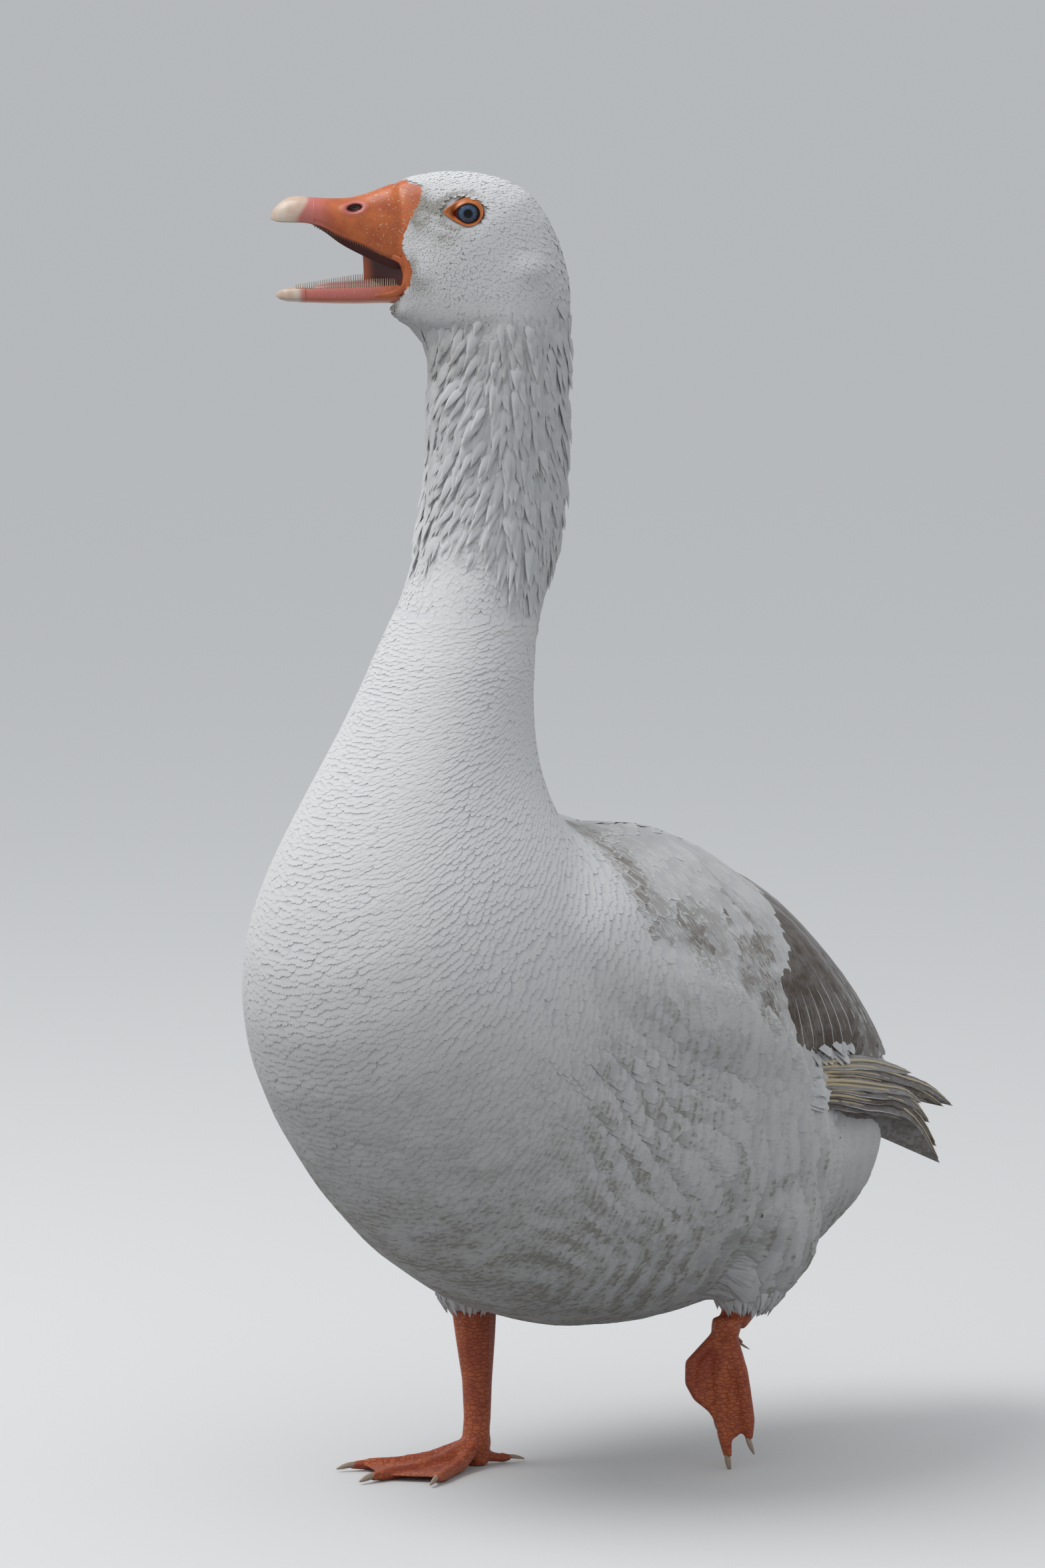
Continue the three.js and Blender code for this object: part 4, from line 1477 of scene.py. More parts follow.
# Forward and height of root, middle and tip, and which way a row faces.
TAIL_COVERTS = [((-219, 254), (-238, 237), (-255, 222), 0.83),
                ((-226, 245), (-243, 229), (-262, 216), 0.83),
                ((-233, 236), (-249, 221), (-270, 210), 0.83),
                ((-237, 226), (-254, 214), (-278, 207), 0.83),
                ((-232, 170), (-247, 181), (-259, 190), -0.8),
                ((-237, 181), (-252, 191), (-267, 197), -0.8)]
coat = Coat()
for row, (*line, facing) in enumerate(TAIL_COVERTS):
    for i in range(TAIL_ROW):
        fan = (i + 0.5 * (row % 2)) / (TAIL_ROW - 0.5) * 2 - 1
        sides = np.array((30, 32, 33)) * fan
        inward = 12 * fan**2
        bend = -11 * fan**2 * np.sign(facing)
        points = [at(forward_at + inward, up + bend * fall, side)
                  for (forward_at, up), side, fall in zip(line, sides, (1, 0.8, 0.2))]
        points[2] = points[2] + dice.normal(0, 1, 3)
        outward = np.array((0.3 * fan, 0.55, facing))
        free_quill(coat, [], SOFT[i % 3], points, outward, dice.uniform(5.5, 6.5), 0)
coat.finish("tail_coverts", PLUMAGE)
shaft_mesh("tail_shafts", shafts, TAIL_SHAFT, SHAFT_CREAM)

# %% [markdown]
# ## Neck locks
#
# On a goose's neck the feathers part into furrows, and on the ridges between
# them they gather into pointed locks. The locks reach lowest at the nape and
# higher up under the throat, where they also turn aside.

# %% Where the locks are
RIDGES = 21
LOCK_LENGTH = 23.0
LOCK_GAP, LOCK_WIDTH = 6.0, 4.4
lock_gap = np.full(body_wrap.pace.shape, LOCK_GAP)
lock_width = np.full(body_wrap.pace.shape, LOCK_WIDTH)
lock_down, lock_turn = row_roots(body_wrap, lock_gap, lock_width)
lock_down = lock_down + spread(len(lock_down), 1)
lock_place = body_wrap.read(body_wrap.places, lock_down, lock_turn)
front = 0.5 - 0.5 * np.cos(math.tau * lock_turn / ROUND)
low_limit = 510 + 38 * smoothstep(front, 0.3, 0.8) - 16 * smoothstep(front, 0.88, 1)
low_limit = low_limit + spread(len(front), 7)
top_limit = 701 + 8 * (1 - front) + spread(len(front), 2)
chosen = (lock_place[:, 2] < top_limit) & (lock_place[:, 2] > low_limit)
lock_down, lock_turn, lock_place = lock_down[chosen], lock_turn[chosen], lock_place[chosen]
front, low_limit, top_limit = front[chosen], low_limit[chosen], top_limit[chosen]
wander = 1.1 * np.sin(lock_down * 0.05) + 0.7 * np.sin(lock_down * 0.11 + 2)
furrow = np.cos(RIDGES * math.tau * lock_turn / ROUND + wander)
swell = smoothstep(lock_place[:, 2], top_limit + 6, top_limit - 13)
swell = swell * smoothstep(lock_place[:, 2], low_limit - 4, low_limit + 70)
lean = smoothstep(front, 0.35, 0.7) * (1 - smoothstep(front, 0.93, 1))
sweep = np.where(lock_turn < ROUND / 2, 1, -1) * np.radians(27) * lean
print("locks on the neck:", len(lock_down))

# %% [markdown]
# Under the locks lies a coat of tiny feathers, so that no skin shows in the
# furrows. A lock on a ridge stands higher than one in a furrow, and all of them
# shrink towards the head and the breast.

# %% Locks
neck_coat = Coat()
neck_part = (roots[:, 2] < 712) & (roots[:, 2] > 500) & free
lay_region(neck_coat, neck_part, TINY, 0.34, 0.05, 0.1)
kinds = dice.integers(0, len(LOCK), len(lock_down))
for kind, vane in enumerate(LOCK):
    rows = kinds == kind
    count = int(rows.sum())
    grown = 0.5 + 0.5 * swell[rows]
    length = LOCK_LENGTH * grown * np.exp(spread(count, 0.16))
    veer = sweep[rows] + spread(count, 0.09)
    path = walk(body_wrap, lock_down[rows], lock_turn[rows], length, veer)
    loft = 0.5 + swell[rows] * (0.8 + 1.1 * furrow[rows]) + spread(count, 0.15)
    rise = (0.6 + 2.2 * swell[rows]) * np.exp(spread(count, 0.3))
    half = 2.9 * (0.6 + 0.4 * swell[rows]) * np.exp(spread(count, 0.15))
    lay(neck_coat, body_wrap, vane, path, half, rise, loft, tones(lock_place[rows]), crown=0.5)
neck_coat.finish("neck_locks", PLUMAGE)

# %% [markdown]
# ## Thighs
#
# The thighs carry loose, wispy down that hangs over the bare part of the leg.
# Each gets a grid of its own, by the same function as the body, with its line
# running down the leg and its rays opening downwards.

# %% Thigh down
THIGH_LINES = {
    LEFT: [(-98, 128, 72), (-96, 116, 72), (-91, 104, 72)],
    RIGHT: [(13, 128, -57), (16, 112, -56), (16, 104, -55)],
}


def wrap_thigh(hand):
    """Rings of rays round a thigh, from the body down to the bare leg."""
    surface = copy_of("thigh_surface", [f"thigh_{SIDE_NAME[hand]}", f"shank_{SIDE_NAME[hand]}"])
    line = even_line(THIGH_LINES[hand], 30)
    centres = [at(*station) for station in line]
    ups, aheads = [np.array((0, 1, 0))] * len(line), [np.array((0, 0, -1))] * len(line)
    wrap = wrap_round(surface, centres, ups, aheads, np.linspace(0, 0.35, len(line)))
    bpy.data.objects.remove(surface)
    return wrap


for hand in (LEFT, RIGHT):
    wrap = wrap_thigh(hand)
    spacing = np.full(wrap.pace.shape, 2.6)
    down, turn = row_roots(wrap, spacing, spacing)
    place = wrap.read(wrap.places, down, turn)
    number = len(down)
    coat = Coat()
    for kind, vane in enumerate(WISP + SOFT[:1]):
        rows = dice.integers(0, 3, number) == kind
        count = int(rows.sum())
        length = 14 * np.exp(spread(count, 0.2))
        path = walk(wrap, down[rows], turn[rows], length, spread(count, 0.2))
        half = np.where(kind < 2, 1.4, 3) * np.exp(spread(count, 0.2))
        rise = 1.5 * np.exp(spread(count, 0.4))
        loft = 0.3 + spread(count, 0.15)
        lay(coat, wrap, vane, path, half, rise, loft, tones(place[rows]), crown=0.1)
    coat.finish(f"thigh_down_{SIDE_NAME[hand]}", PLUMAGE)

# %% [markdown]
# The lowest down hangs free round the top of each leg, in rings of wisps that
# bulge outwards and close in again, so that the leg comes out of a soft cuff.

# %% Cuffs of down
CUFF_TOP = {LEFT: (-97, 120, 72), RIGHT: (15, 118, -56)}
CUFF_END = {LEFT: (-91, 90, 72), RIGHT: (17, 88, -55)}
CUFF_RINGS = 6
CUFF_ROUND = 54

for hand in (LEFT, RIGHT):
    coat = Coat()
    top, end = at(*CUFF_TOP[hand]), at(*CUFF_END[hand])
    for ring in range(CUFF_RINGS):
        share = ring / (CUFF_RINGS - 1)
        middle = top * (1 - 0.5 * share) + end * 0.5 * share
        for i in range(CUFF_ROUND):
            angle = math.tau * (i + 0.5 * (ring % 2)) / CUFF_ROUND + dice.normal(0, 0.06)
            outward = np.array((math.cos(angle), math.sin(angle), 0))
            wide = 23 - 7 * share + dice.normal(0, 0.7)
            tip = middle * 0.25 + end * 0.75 + outward * (wide - 6)
            tip = tip + np.array((0, 0, dice.normal(1, 2.2)))
            widest = middle * 0.6 + end * 0.4 + outward * wide
            points = [middle + outward * (wide - 3), widest, tip]
            free_quill(coat, [], WISP[i % 2], points, outward, dice.uniform(1.6, 3), 0)
    coat.finish(f"cuff_{SIDE_NAME[hand]}", PLUMAGE)

# %% [markdown]
# ## Bill
#
# Each half of the bill is a run of cross-sections from the face to the nail,
# whose heights and widths are smooth curves of how far ahead they are. A tube
# then joins section to section and closes both ends.


# %% Curves and lofts
def smooth_curve(stations, where):
    """A smooth line through (place, value) stations, read at places."""
    marks, values = np.array(stations, dtype=float).T
    return eased(marks, values, where, (0, 1))


def head_points(ahead, height, side):
    """Many places on the turned head at once."""
    place = turned(np.stack(np.broadcast_arrays(side, -ahead, height), axis=-1), HEAD_TURN)
    return place + np.array((0, HIPS - NECK_AXIS, 0))


def skin_side(tree, ahead, height, hand):
    """How far out the face is at places seen from the side."""
    outs = []
    aim = turned((-hand, 0, 0), HEAD_TURN)
    for a, h in zip(ahead.ravel(), height.ravel()):
        hit = tree.ray_cast((on_head(a, h, hand * 60) * MM).tolist(), aim.tolist())[0]
        outs.append(hand * head_place(np.array(hit) / MM)[2] if hit else 0)
    return np.array(outs).reshape(ahead.shape)


torso_tree = BVHTree.FromObject(torso, bpy.context.evaluated_depsgraph_get())
skin_tree = BVHTree.FromObject(skin, bpy.context.evaluated_depsgraph_get())


def tube(title, rings, finish, tint=None):
    """A closed mesh through rings of places, its ends capped, and its tint."""
    count, around = rings.shape[:2]
    ring = np.arange(around)
    faces = []
    for i in range(count - 1):
        here, there = i * around + ring, (i + 1) * around + ring
        faces += np.stack((here, np.roll(here, -1), np.roll(there, -1), there), axis=1).tolist()
    faces += [ring[::-1].tolist(), ((count - 1) * around + ring).tolist()]
    made = piece_of(title, rings.reshape(-1, 3), faces, finish)
    made.data.polygons.foreach_set("use_smooth", [True] * len(faces))
    if tint is not None:
        colours = made.data.attributes.new("tint", "FLOAT_COLOR", "POINT")
        colours.data.foreach_set("color", tint.reshape(-1, 4).ravel())
    return made


# %% [markdown]
# The upper half is drawn as one closed section: over the ridge, down the cheek
# to the cutting edge, in under a thin flange, and back along a vaulted palate.

# %% The shape of the upper half
# All lines are (ahead, height), and widths are (ahead, half width).
CULMEN = [(44, 769), (56, 777), (62, 778), (70, 775.5), (78, 772.5), (88, 770), (97, 769.5),
          (106, 769.8), (114, 770.3), (120, 770.4), (126, 768.9), (131, 765), (134, 761), (135, 758.4)]
TOMIUM = [(44, 730), (53, 733.5), (62, 734.5), (70, 737), (80, 742), (94, 747.5), (103, 752.3),
          (114, 755.3), (124, 755.6), (131, 756), (135, 757.4)]
FLANGE = [(44, 727), (53, 728), (62, 728.5), (70, 731.5), (80, 736), (94, 743.5), (103, 750),
          (112, 755), (124, 755.6), (135, 757.3)]
UPPER_WIDTH = [(44, 15), (53, 17.6), (60, 18), (78, 16.3), (97, 14.2), (113, 11.8), (122, 10.4),
               (128, 8.4), (132, 5.8), (134, 3.6), (135, 1.4)]
UPPER_NAIL, LOWER_NAIL = 109.0, 114.0  # where the pieces of nail start


def upper_rings(first, last, count, grow=0):
    """Cross-sections of the upper half: over the top, then back under the palate."""
    ahead = np.linspace(first, last, count)[:, None]
    high = smooth_curve(CULMEN, ahead) + grow
    edge = smooth_curve(TOMIUM, ahead) - grow * 0.3
    flange = np.minimum(smooth_curve(FLANGE, ahead), edge - 0.15)
    wide = smooth_curve(UPPER_WIDTH, ahead) + grow
    angle = np.linspace(0, math.pi, 61)[None, :]
    shoulder = edge + 0.18 * (high - edge)
    over = shoulder + (high - shoulder) * np.sin(angle) ** 0.92
    out = wide * np.sign(np.cos(angle)) * np.abs(np.cos(angle)) ** 0.86
    wall = np.array((0, 0.35, 0.7))[None, :]
    wall_out = wide * (0.965 + 0.035 * wall)
    wall_up = edge + (shoulder - edge) * wall
    inset = np.array((1, 1.6, 2.6))[None, :]
    inner_side = np.maximum(wide * 0.965 - inset * np.minimum(1, wide / 8), 0.2)
    inner_up = np.concatenate((edge + 0.2, flange, flange + 1.5), axis=1)
    palate = np.linspace(0.85, -0.85, 13)[None, :]
    roof = flange + 1.5 + (high - edge) * 0.42 * (1 - (palate / 0.9) ** 2)
    palate_out = (wide * 0.965 - 2.6) * palate
    sides = np.concatenate((wall_out, out, -wall_out[:, ::-1], -inner_side, -palate_out,
                            inner_side[:, ::-1]), axis=1)
    ups = np.concatenate((wall_up, over, wall_up[:, ::-1], inner_up, roof,
                          inner_up[:, ::-1]), axis=1)
    return np.broadcast_to(ahead, sides.shape), ups, sides


print("the ridge of the bill is", CULMEN[-1][0] - CULMEN[0][0], "mm long, with its root")

# %% [markdown]
# The horn is orange, and pink towards the nail and round the nostril. Inside the
# open mouth it is painted dark red, as shade, and the nostril near black, as the
# shade in its hole. A colour on each point, the `tint`, tells these regions, and
# the material mixes them with clouds, specks and pale scuffs.


# %% Orange horn
ORANGE, DEEP_ORANGE = (0.66, 0.165, 0.04), (0.50, 0.105, 0.03)
PINK = (0.62, 0.17, 0.14)
MOUTH_SHADE_RED = (0.085, 0.014, 0.012)
SCUFF, SPECK = (0.75, 0.55, 0.42), (0.10, 0.03, 0.02)
NOSTRIL = (85.0, 764.0)
NOSTRIL_SHADE = (0.045, 0.01, 0.01)


def from_nostril(aheads, ups, long, tall):
    """1 on an oval round the nostril, less inside and more outside."""
    along = aheads - NOSTRIL[0]
    return np.hypot(along / long, (ups - NOSTRIL[1] + 0.12 * along) / tall)


def bill_tint(aheads, ups, mouth_shade):
    """Red: pink. Green: painted shade inside the mouth. Blue: pale scuffs. Alpha: the nostril's
    painted shade.
    """
    pink = 0.35 * smoothstep(aheads, 93, 105) + 0.6 * smoothstep(aheads, 99, 109)
    pink = pink * (1 - 0.5 * smoothstep(ups, 764, 769) * smoothstep(aheads, 108, 100))
    pink = np.maximum(pink, 0.9 * smoothstep(from_nostril(aheads, ups, 8.5, 4.6), 1.15, 0.7))
    hole = smoothstep(from_nostril(aheads, ups, 5, 2.3), 1.1, 0.75)
    scuffs = smoothstep(aheads, 88, 70) * smoothstep(ups, 738, 746)
    return np.stack((pink, mouth_shade, scuffs, hole), axis=-1)


def horn_finish(title, colour, deep):
    material = new_material(title, colour, 0.36, Coat_Weight=0.12, Coat_Roughness=0.2)
    pink, mouth_shade, scuffs, hole = channels(material, "tint")
    clouds = noise(material, 90, None, 4, 0.6)
    base = mixed(material, ramp(material, clouds, 0.35, 0.7), colour, deep)
    base = mixed(material, pink, base, PINK)
    specks = ramp(material, noise(material, 330, None, 1), 0.745, 0.765)
    base = mixed(material, times(material, specks, scuffs), base, SPECK)
    flecks = ramp(material, noise(material, 800, None, 2), 0.62, 0.69)
    base = mixed(material, times(material, scuffs, flecks), base, SCUFF)
    # Painted shade: the inside of the mouth is darkened to near black red.
    base = mixed(material, mouth_shade, base, MOUTH_SHADE_RED)
    # Painted shade: the nostril's hole is near black.
    base = mixed(material, hole, base, NOSTRIL_SHADE)
    link(material, base, "Base Color")
    bump(material, noise(material, 420, None, 5, 0.65), 0.25, 0.35)
    return material


BILL_SKIN = horn_finish("bill", ORANGE, DEEP_ORANGE)
print("nodes in the horn:", len(BILL_SKIN.node_tree.nodes))

# %% [markdown]
# The nostril is a dent with a low rim, and a groove runs along the cutting
# edge. Where the horn meets the face it is spread until it reaches the skin, by
# rays sent in from the side.

# %% The upper half
BILL_START = 46.0
LAP = 0.4  # how far the horn runs on under a nail
OUTSIDE = 68  # points of a section before it turns inside
aheads, ups, sides = upper_rings(BILL_START, UPPER_NAIL + LAP, 150)
inside = np.broadcast_to(np.arange(sides.shape[1]) > OUTSIDE, sides.shape).astype(float)
# The inside of the upper half gets the painted shade of the open mouth.
tint = bill_tint(aheads, ups, inside)
dent = from_nostril(aheads, ups, 4.8, 2.2)
rim = from_nostril(aheads, ups, 6.8, 3.4)
outer = 1 - inside
push = (0.55 * bell(rim, 1, 0.35) - 2.8 * smoothstep(dent, 1.15, 0.6)) * outer
groove = -0.5 * bell(ups, smooth_curve(TOMIUM, aheads) + 2.2, 0.8) * outer
sides = sides + np.sign(sides) * (push + groove)
near_face = (aheads < 61) & (outer > 0) & (ups > 736)
for hand in (LEFT, RIGHT):
    rows = near_face & (sides * hand > 4)
    face = np.abs(skin_side(torso_tree, aheads[rows], ups[rows], hand)) - 0.3
    share = smoothstep(aheads[rows], 61, 55)
    wanted = np.maximum(np.abs(sides[rows]), np.minimum(face, 19.5))
    sides[rows] = hand * (np.abs(sides[rows]) * (1 - share) + wanted * share)
upper_bill = tube("upper_bill", head_points(aheads, ups, sides), BILL_SKIN, tint)
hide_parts("bill_upper")

# %% [markdown]
# The lower half is a keel with a trough in it, in which the tongue lies. It is
# pink along its sides, where the horn is thin, and the floor of the trough has a
# little painted shade.

# %% The lower half
KEEL = [(44, 706), (62, 707.6), (85, 707.4), (108, 707.8), (120, 708.4), (127, 709.2),
        (130.5, 710.6), (131.8, 712)]
LOWER_EDGE = [(44, 720), (56, 719), (70, 718), (85, 717.2), (100, 716.6), (112, 716.2), (122, 716),
              (128, 715.2), (130.5, 714), (131.8, 712.6)]
LOWER_WIDTH = [(44, 13.5), (62, 15.2), (85, 13.6), (100, 12), (112, 10.4), (122, 8.4), (127, 6.4),
               (130, 4), (131.8, 1.4)]
TROUGH = 3.2  # depth of the trough that the tongue lies in


def lower_rings(first, last, count, grow=0):
    """Cross-sections of the lower half: round the keel, then along the trough."""
    ahead = np.linspace(first, last, count)[:, None]
    low = smooth_curve(KEEL, ahead) - grow
    edge = smooth_curve(LOWER_EDGE, ahead) + grow
    wide = smooth_curve(LOWER_WIDTH, ahead) + grow
    angle = np.linspace(0, math.pi, 41)[None, :]
    belly = low + (edge - low) * 0.45
    under = belly - (belly - low) * np.sin(angle) ** 0.8
    out = wide * np.sign(np.cos(angle)) * np.abs(np.cos(angle)) ** 0.8
    lip = np.maximum(wide - np.array((0.1, 0.9, 2.2))[None, :] * np.minimum(1, wide / 7), 0.2)
    lip_up = np.concatenate((edge - 0.4, edge, edge - 0.8), axis=1)
    floor_share = np.linspace(-0.9, 0.9, 11)[None, :]
    trough = edge - 0.8 - TROUGH * np.minimum(1, wide / 8) * (1 - floor_share**4)
    sides = np.concatenate((out, -lip, (wide - 2.2) * floor_share, lip[:, ::-1]), axis=1)
    ups = np.concatenate((under, lip_up, trough, lip_up[:, ::-1]), axis=1)
    return np.broadcast_to(ahead, sides.shape), ups, sides


aheads, ups, sides = lower_rings(BILL_START, LOWER_NAIL + LAP, 120)
pink = smoothstep(aheads, 56, 84) * smoothstep(ups, 708.5, 711.5)
around = np.arange(sides.shape[1])
# Painted shade: the floor of the trough, under the tongue, is tinted a little dark red.
trough_shade = 0.25 * ((around > 43) & (around < 55))[None, :] * np.ones_like(aheads)
tint = np.stack((pink, trough_shade, np.full_like(pink, 0.4), 0 * pink), axis=-1)
lower_bill = tube("lower_bill", head_points(aheads, ups, sides), BILL_SKIN, tint)
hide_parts("bill_lower")

# %% [markdown]
# ## Nails and tongue
#
# The nail is a shield of pale horn that caps each half of the bill. It is drawn
# by the same sections, grown a little, so that it stands proud of the skin.

# %% Nails
NAIL_HORN = new_material("nail", (0.72, 0.56, 0.42), 0.32, Coat_Weight=0.15)
PALE_NAIL, WARM_NAIL = (0.76, 0.64, 0.52), (0.70, 0.50, 0.39)
nail_clouds = noise(NAIL_HORN, 110, None, 3)
horn_tones = mixed(NAIL_HORN, ramp(NAIL_HORN, nail_clouds, 0.35, 0.65), PALE_NAIL, WARM_NAIL)
link(NAIL_HORN, mixed(NAIL_HORN, channels(NAIL_HORN, "tint")[0], horn_tones, PINK), "Base Color")
bump(NAIL_HORN, noise(NAIL_HORN, 300, None, 4), 0.15, 0.2)


def nail_tint(aheads, border):
    """The nail is pink where it leaves the skin of the bill."""
    pink = 0.95 * smoothstep(aheads, border + 4, border)
    return np.stack((pink, 0 * pink, 0 * pink, 0 * pink), axis=-1)


UPPER_TIP, LOWER_TIP = CULMEN[-1][0], KEEL[-1][0]
grow = 0.3 * smoothstep(np.linspace(UPPER_NAIL, UPPER_TIP, 60)[:, None], 110, 119) - 0.06
aheads, ups, sides = upper_rings(UPPER_NAIL, UPPER_TIP, 60, grow)
border = 116.5 - 5.5 * smoothstep(ups, 757, 769)
upper_nail = tube("upper_nail", head_points(aheads, ups, sides), NAIL_HORN,
                  nail_tint(aheads, border))
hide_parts("bill_upper_nail")
aheads, ups, sides = lower_rings(LOWER_NAIL, LOWER_TIP, 40, 0.2)
lower_nail = tube("lower_nail", head_points(aheads, ups, sides), NAIL_HORN,
                  nail_tint(aheads, LOWER_NAIL + 1))
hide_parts("bill_lower_nail")

# %% [markdown]
# The tongue is wet flesh with a furrow down the middle. It is a tube as well,
# broad and flat, that lies in the trough of the lower half.

# %% Tongue
TONGUE_FLESH = new_material("tongue", (0.52, 0.20, 0.19), 0.3, Coat_Weight=0.4,
                            Coat_Roughness=0.15)
TONGUE = [(50, 7.5), (75, 8.2), (95, 7.2), (104, 5.6), (110, 2)]
ahead = np.linspace(50, 110, 60)[:, None]
angle = np.linspace(0, math.tau, 32, endpoint=False)[None, :]
wide = smooth_curve(TONGUE, ahead)
middle = np.interp(ahead, (50, 110), (718.2, 716.2))
thick = np.interp(ahead, (50, 75, 100, 110), (4.4, 4.6, 3.6, 1.4))
furrowed = 0.7 * bell(wide * np.cos(angle), 0, 1.6) * (np.sin(angle) > 0)
heights = middle + thick * np.sin(angle) - furrowed
tongue = tube("goose_tongue", head_points(ahead + 0 * angle, heights, wide * np.cos(angle)),
              TONGUE_FLESH)
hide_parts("tongue")

# %% [markdown]
# Combs of thin plates run along both edges of the bill. A plate is a tapering
# block, and a row of them is one mesh. The lower comb is a little lower on the left.

# %% Combs along the edges
COMB_HORN = new_material("comb", (0.60, 0.48, 0.34), 0.5)
DARK_COMB = new_material("dark_comb", (0.30, 0.13, 0.08), 0.5)
CORNERS = ((-1, -1), (1, -1), (1, 1), (-1, 1))
BLOCK = ((0, 1, 2, 3), (7, 6, 5, 4), (0, 4, 5, 1), (1, 5, 6, 2), (2, 6, 7, 3), (3, 7, 4, 0))
TIP_SIZE = 0.35
# Ahead, then side and height of a plate's foot, then of its tip.
LOWER_COMB = [(59, 14.2, 715, 12.9, 724.2), (74, 13.4, 715.5, 12.2, 723.8),
              (85, 12.7, 715.5, 11.6, 722.8), (100, 11, 714.8, 10, 720.4),
              (113, 9.2, 713.8, 8.4, 718.2), (121, 7.6, 713, 7, 717)]
UPPER_COMB = [(62, 16.9, 735, 16.6, 733.4), (80, 15.7, 742.4, 15.4, 740.6),
              (97, 13.8, 749.4, 13.5, 747.6), (110, 11.9, 754.4, 11.6, 752.9)]


def comb(title, stations, pitch, thick, finish, sunk=0):
    """Rows of thin plates, the left one sunk a little and the right one raised."""
    stations = np.array(stations, dtype=float)
    spots = np.arange(stations[0, 0], stations[-1, 0], pitch)
    spots = spots + dice.uniform(-0.12, 0.12, len(spots))
    plates = [np.interp(spots, stations[:, 0], column) for column in stations[:, 1:].T]
    vertices, faces = [], []
    for hand in (LEFT, RIGHT):
        for ahead, foot_side, foot, tip_side, tip in zip(spots, *plates):
            faces += [[len(vertices) + k for k in face] for face in BLOCK]
            for high, side_at, size in ((foot, foot_side, 1), (tip - sunk * hand, tip_side, TIP_SIZE)):
                for fore, aside in CORNERS:
                    vertices.append(head_points(ahead + fore * thick * size, high,
                                                hand * (side_at + aside * 0.7 * size)))
    piece_of(title, vertices, faces, finish)


comb("lower_comb", LOWER_COMB, 1.3, 0.44, COMB_HORN, 1.3)
comb("upper_comb", UPPER_COMB, 1.5, 0.30, DARK_COMB)

# %% [markdown]
# ## Mouth
#
# At each corner of the open mouth a fold of orange skin joins the two halves of
# the bill. It is a tube along a curve, thin at its ends, that keeps to the face
# by the same rays as the horn does.

# %% The corner of the mouth
GAPE = [(70, 737.2), (63, 735.6), (57.5, 733.2), (54.2, 729), (53.2, 724.5), (54.4, 719.5),
        (58.5, 715.2), (65, 713), (72, 712.4)]
GAPE_HALF = 2.3
GAPE_SKIN = horn_finish("gape", (0.60, 0.15, 0.04), (0.45, 0.09, 0.03))
for hand in (LEFT, RIGHT):
    shares = np.linspace(0, 1, 56)
    line = bent([(a, h, 0) for a, h in GAPE], shares)
    out = np.clip(skin_side(torso_tree, line[:, 0], line[:, 1], hand), 15.5, 19.5)
    line[:, 2] = hand * (np.convolve(np.pad(out, 4, mode="edge"), np.ones(9) / 9, "valid") - 0.5)
    ahead_of = unit(np.gradient(line, axis=0))
    outward = np.array((0, 0, float(hand)))
    flat = unit(np.cross(ahead_of, outward))
    angles = np.linspace(0, math.tau, 16, endpoint=False)
    size = GAPE_HALF * np.sin(np.pi * np.clip(shares, 0.04, 0.96)) ** 0.4
    rings = line[:, None] + flat[:, None] * (size[:, None] * np.cos(angles))[..., None]
    rings = rings + outward * (size[:, None] * 0.5 * np.sin(angles))[..., None]
    tube(f"gape_{SIDE_NAME[hand]}", head_points(rings[..., 0], rings[..., 1], rings[..., 2]),
         GAPE_SKIN, np.zeros((*rings.shape[:2], 4)))

# %% [markdown]
# At the back of the mouth a fold rises from the root of the tongue to the
# palate, with a hollow at each side whose shade is painted dark red. It is a
# curtain with a front and a back.

# %% The back of the mouth
MOUTH_FLOOR = 714.0
across = np.linspace(-1, 1, 61)[:, None]
climb = np.linspace(0, 1, 15)[None, :]
fold_ahead = 57 + 23 * (1 - np.abs(across) ** 1.3) + 2.5 * (climb - 0.35) ** 2 * (1 - np.abs(across))
fold_up = MOUTH_FLOOR + (smooth_curve(FLANGE, fold_ahead) + 5 - MOUTH_FLOOR) * climb
fold_side = 15.6 * across + 0 * climb
aheads = np.concatenate((fold_ahead, fold_ahead[:, ::-1] - 1.2), axis=1)
ups = np.concatenate((fold_up, fold_up[:, ::-1]), axis=1)
sides = np.concatenate((fold_side, fold_side), axis=1)
edge_near = np.abs(across) + 0 * aheads
# Painted shade: the sides of the fold, in the hollows, are tinted dark red.
dark = smoothstep(edge_near, 0.1, 0.42)
tint = np.stack((0.15 * (1 - dark), dark, 0 * dark, 0 * dark), axis=-1)
tube("throat", head_points(aheads, ups, sides), GAPE_SKIN, tint)

# %% [markdown]
# The skin of the head is bare in front of the line where the plumage ends.
# Where it lines the mouth it is painted near black red, as the shade inside the
# open mouth. Its faces are sorted by their middles and given the material of
# their place.

# %% Bare skin and the lining of the mouth
# Painted shade: the lining of the mouth is near black red.
MOUTH_LINING_SHADE = new_material("mouth_lining_shade", (0.10, 0.018, 0.015), 0.3, Coat_Weight=0.3)
skin.data.materials.append(MOUTH_LINING_SHADE)
skin.data.materials.append(BILL_SKIN)
centres = np.array([polygon.center for polygon in skin.data.polygons]) / MM
ahead, height, side = head_place(centres)
lining = (ahead > 50) & (height > 711) & (height < 744) & (np.abs(side) < 16.5)
bare_face = (ahead > bare_line(height) - 0.8) & (height > 706) & (centres[:, 2] > 700)
finish_number = np.where(lining, 1, np.where(bare_face, 2, 0))
plain = skin.data.attributes.new("tint", "FLOAT_COLOR", "POINT")
plain.data.foreach_set("color", np.zeros(4 * len(skin.data.vertices)))
skin.data.polygons.foreach_set("material_index", finish_number.astype(np.int32))
print("faces of lining and of bare face:", int(lining.sum()), int(bare_face.sum()))

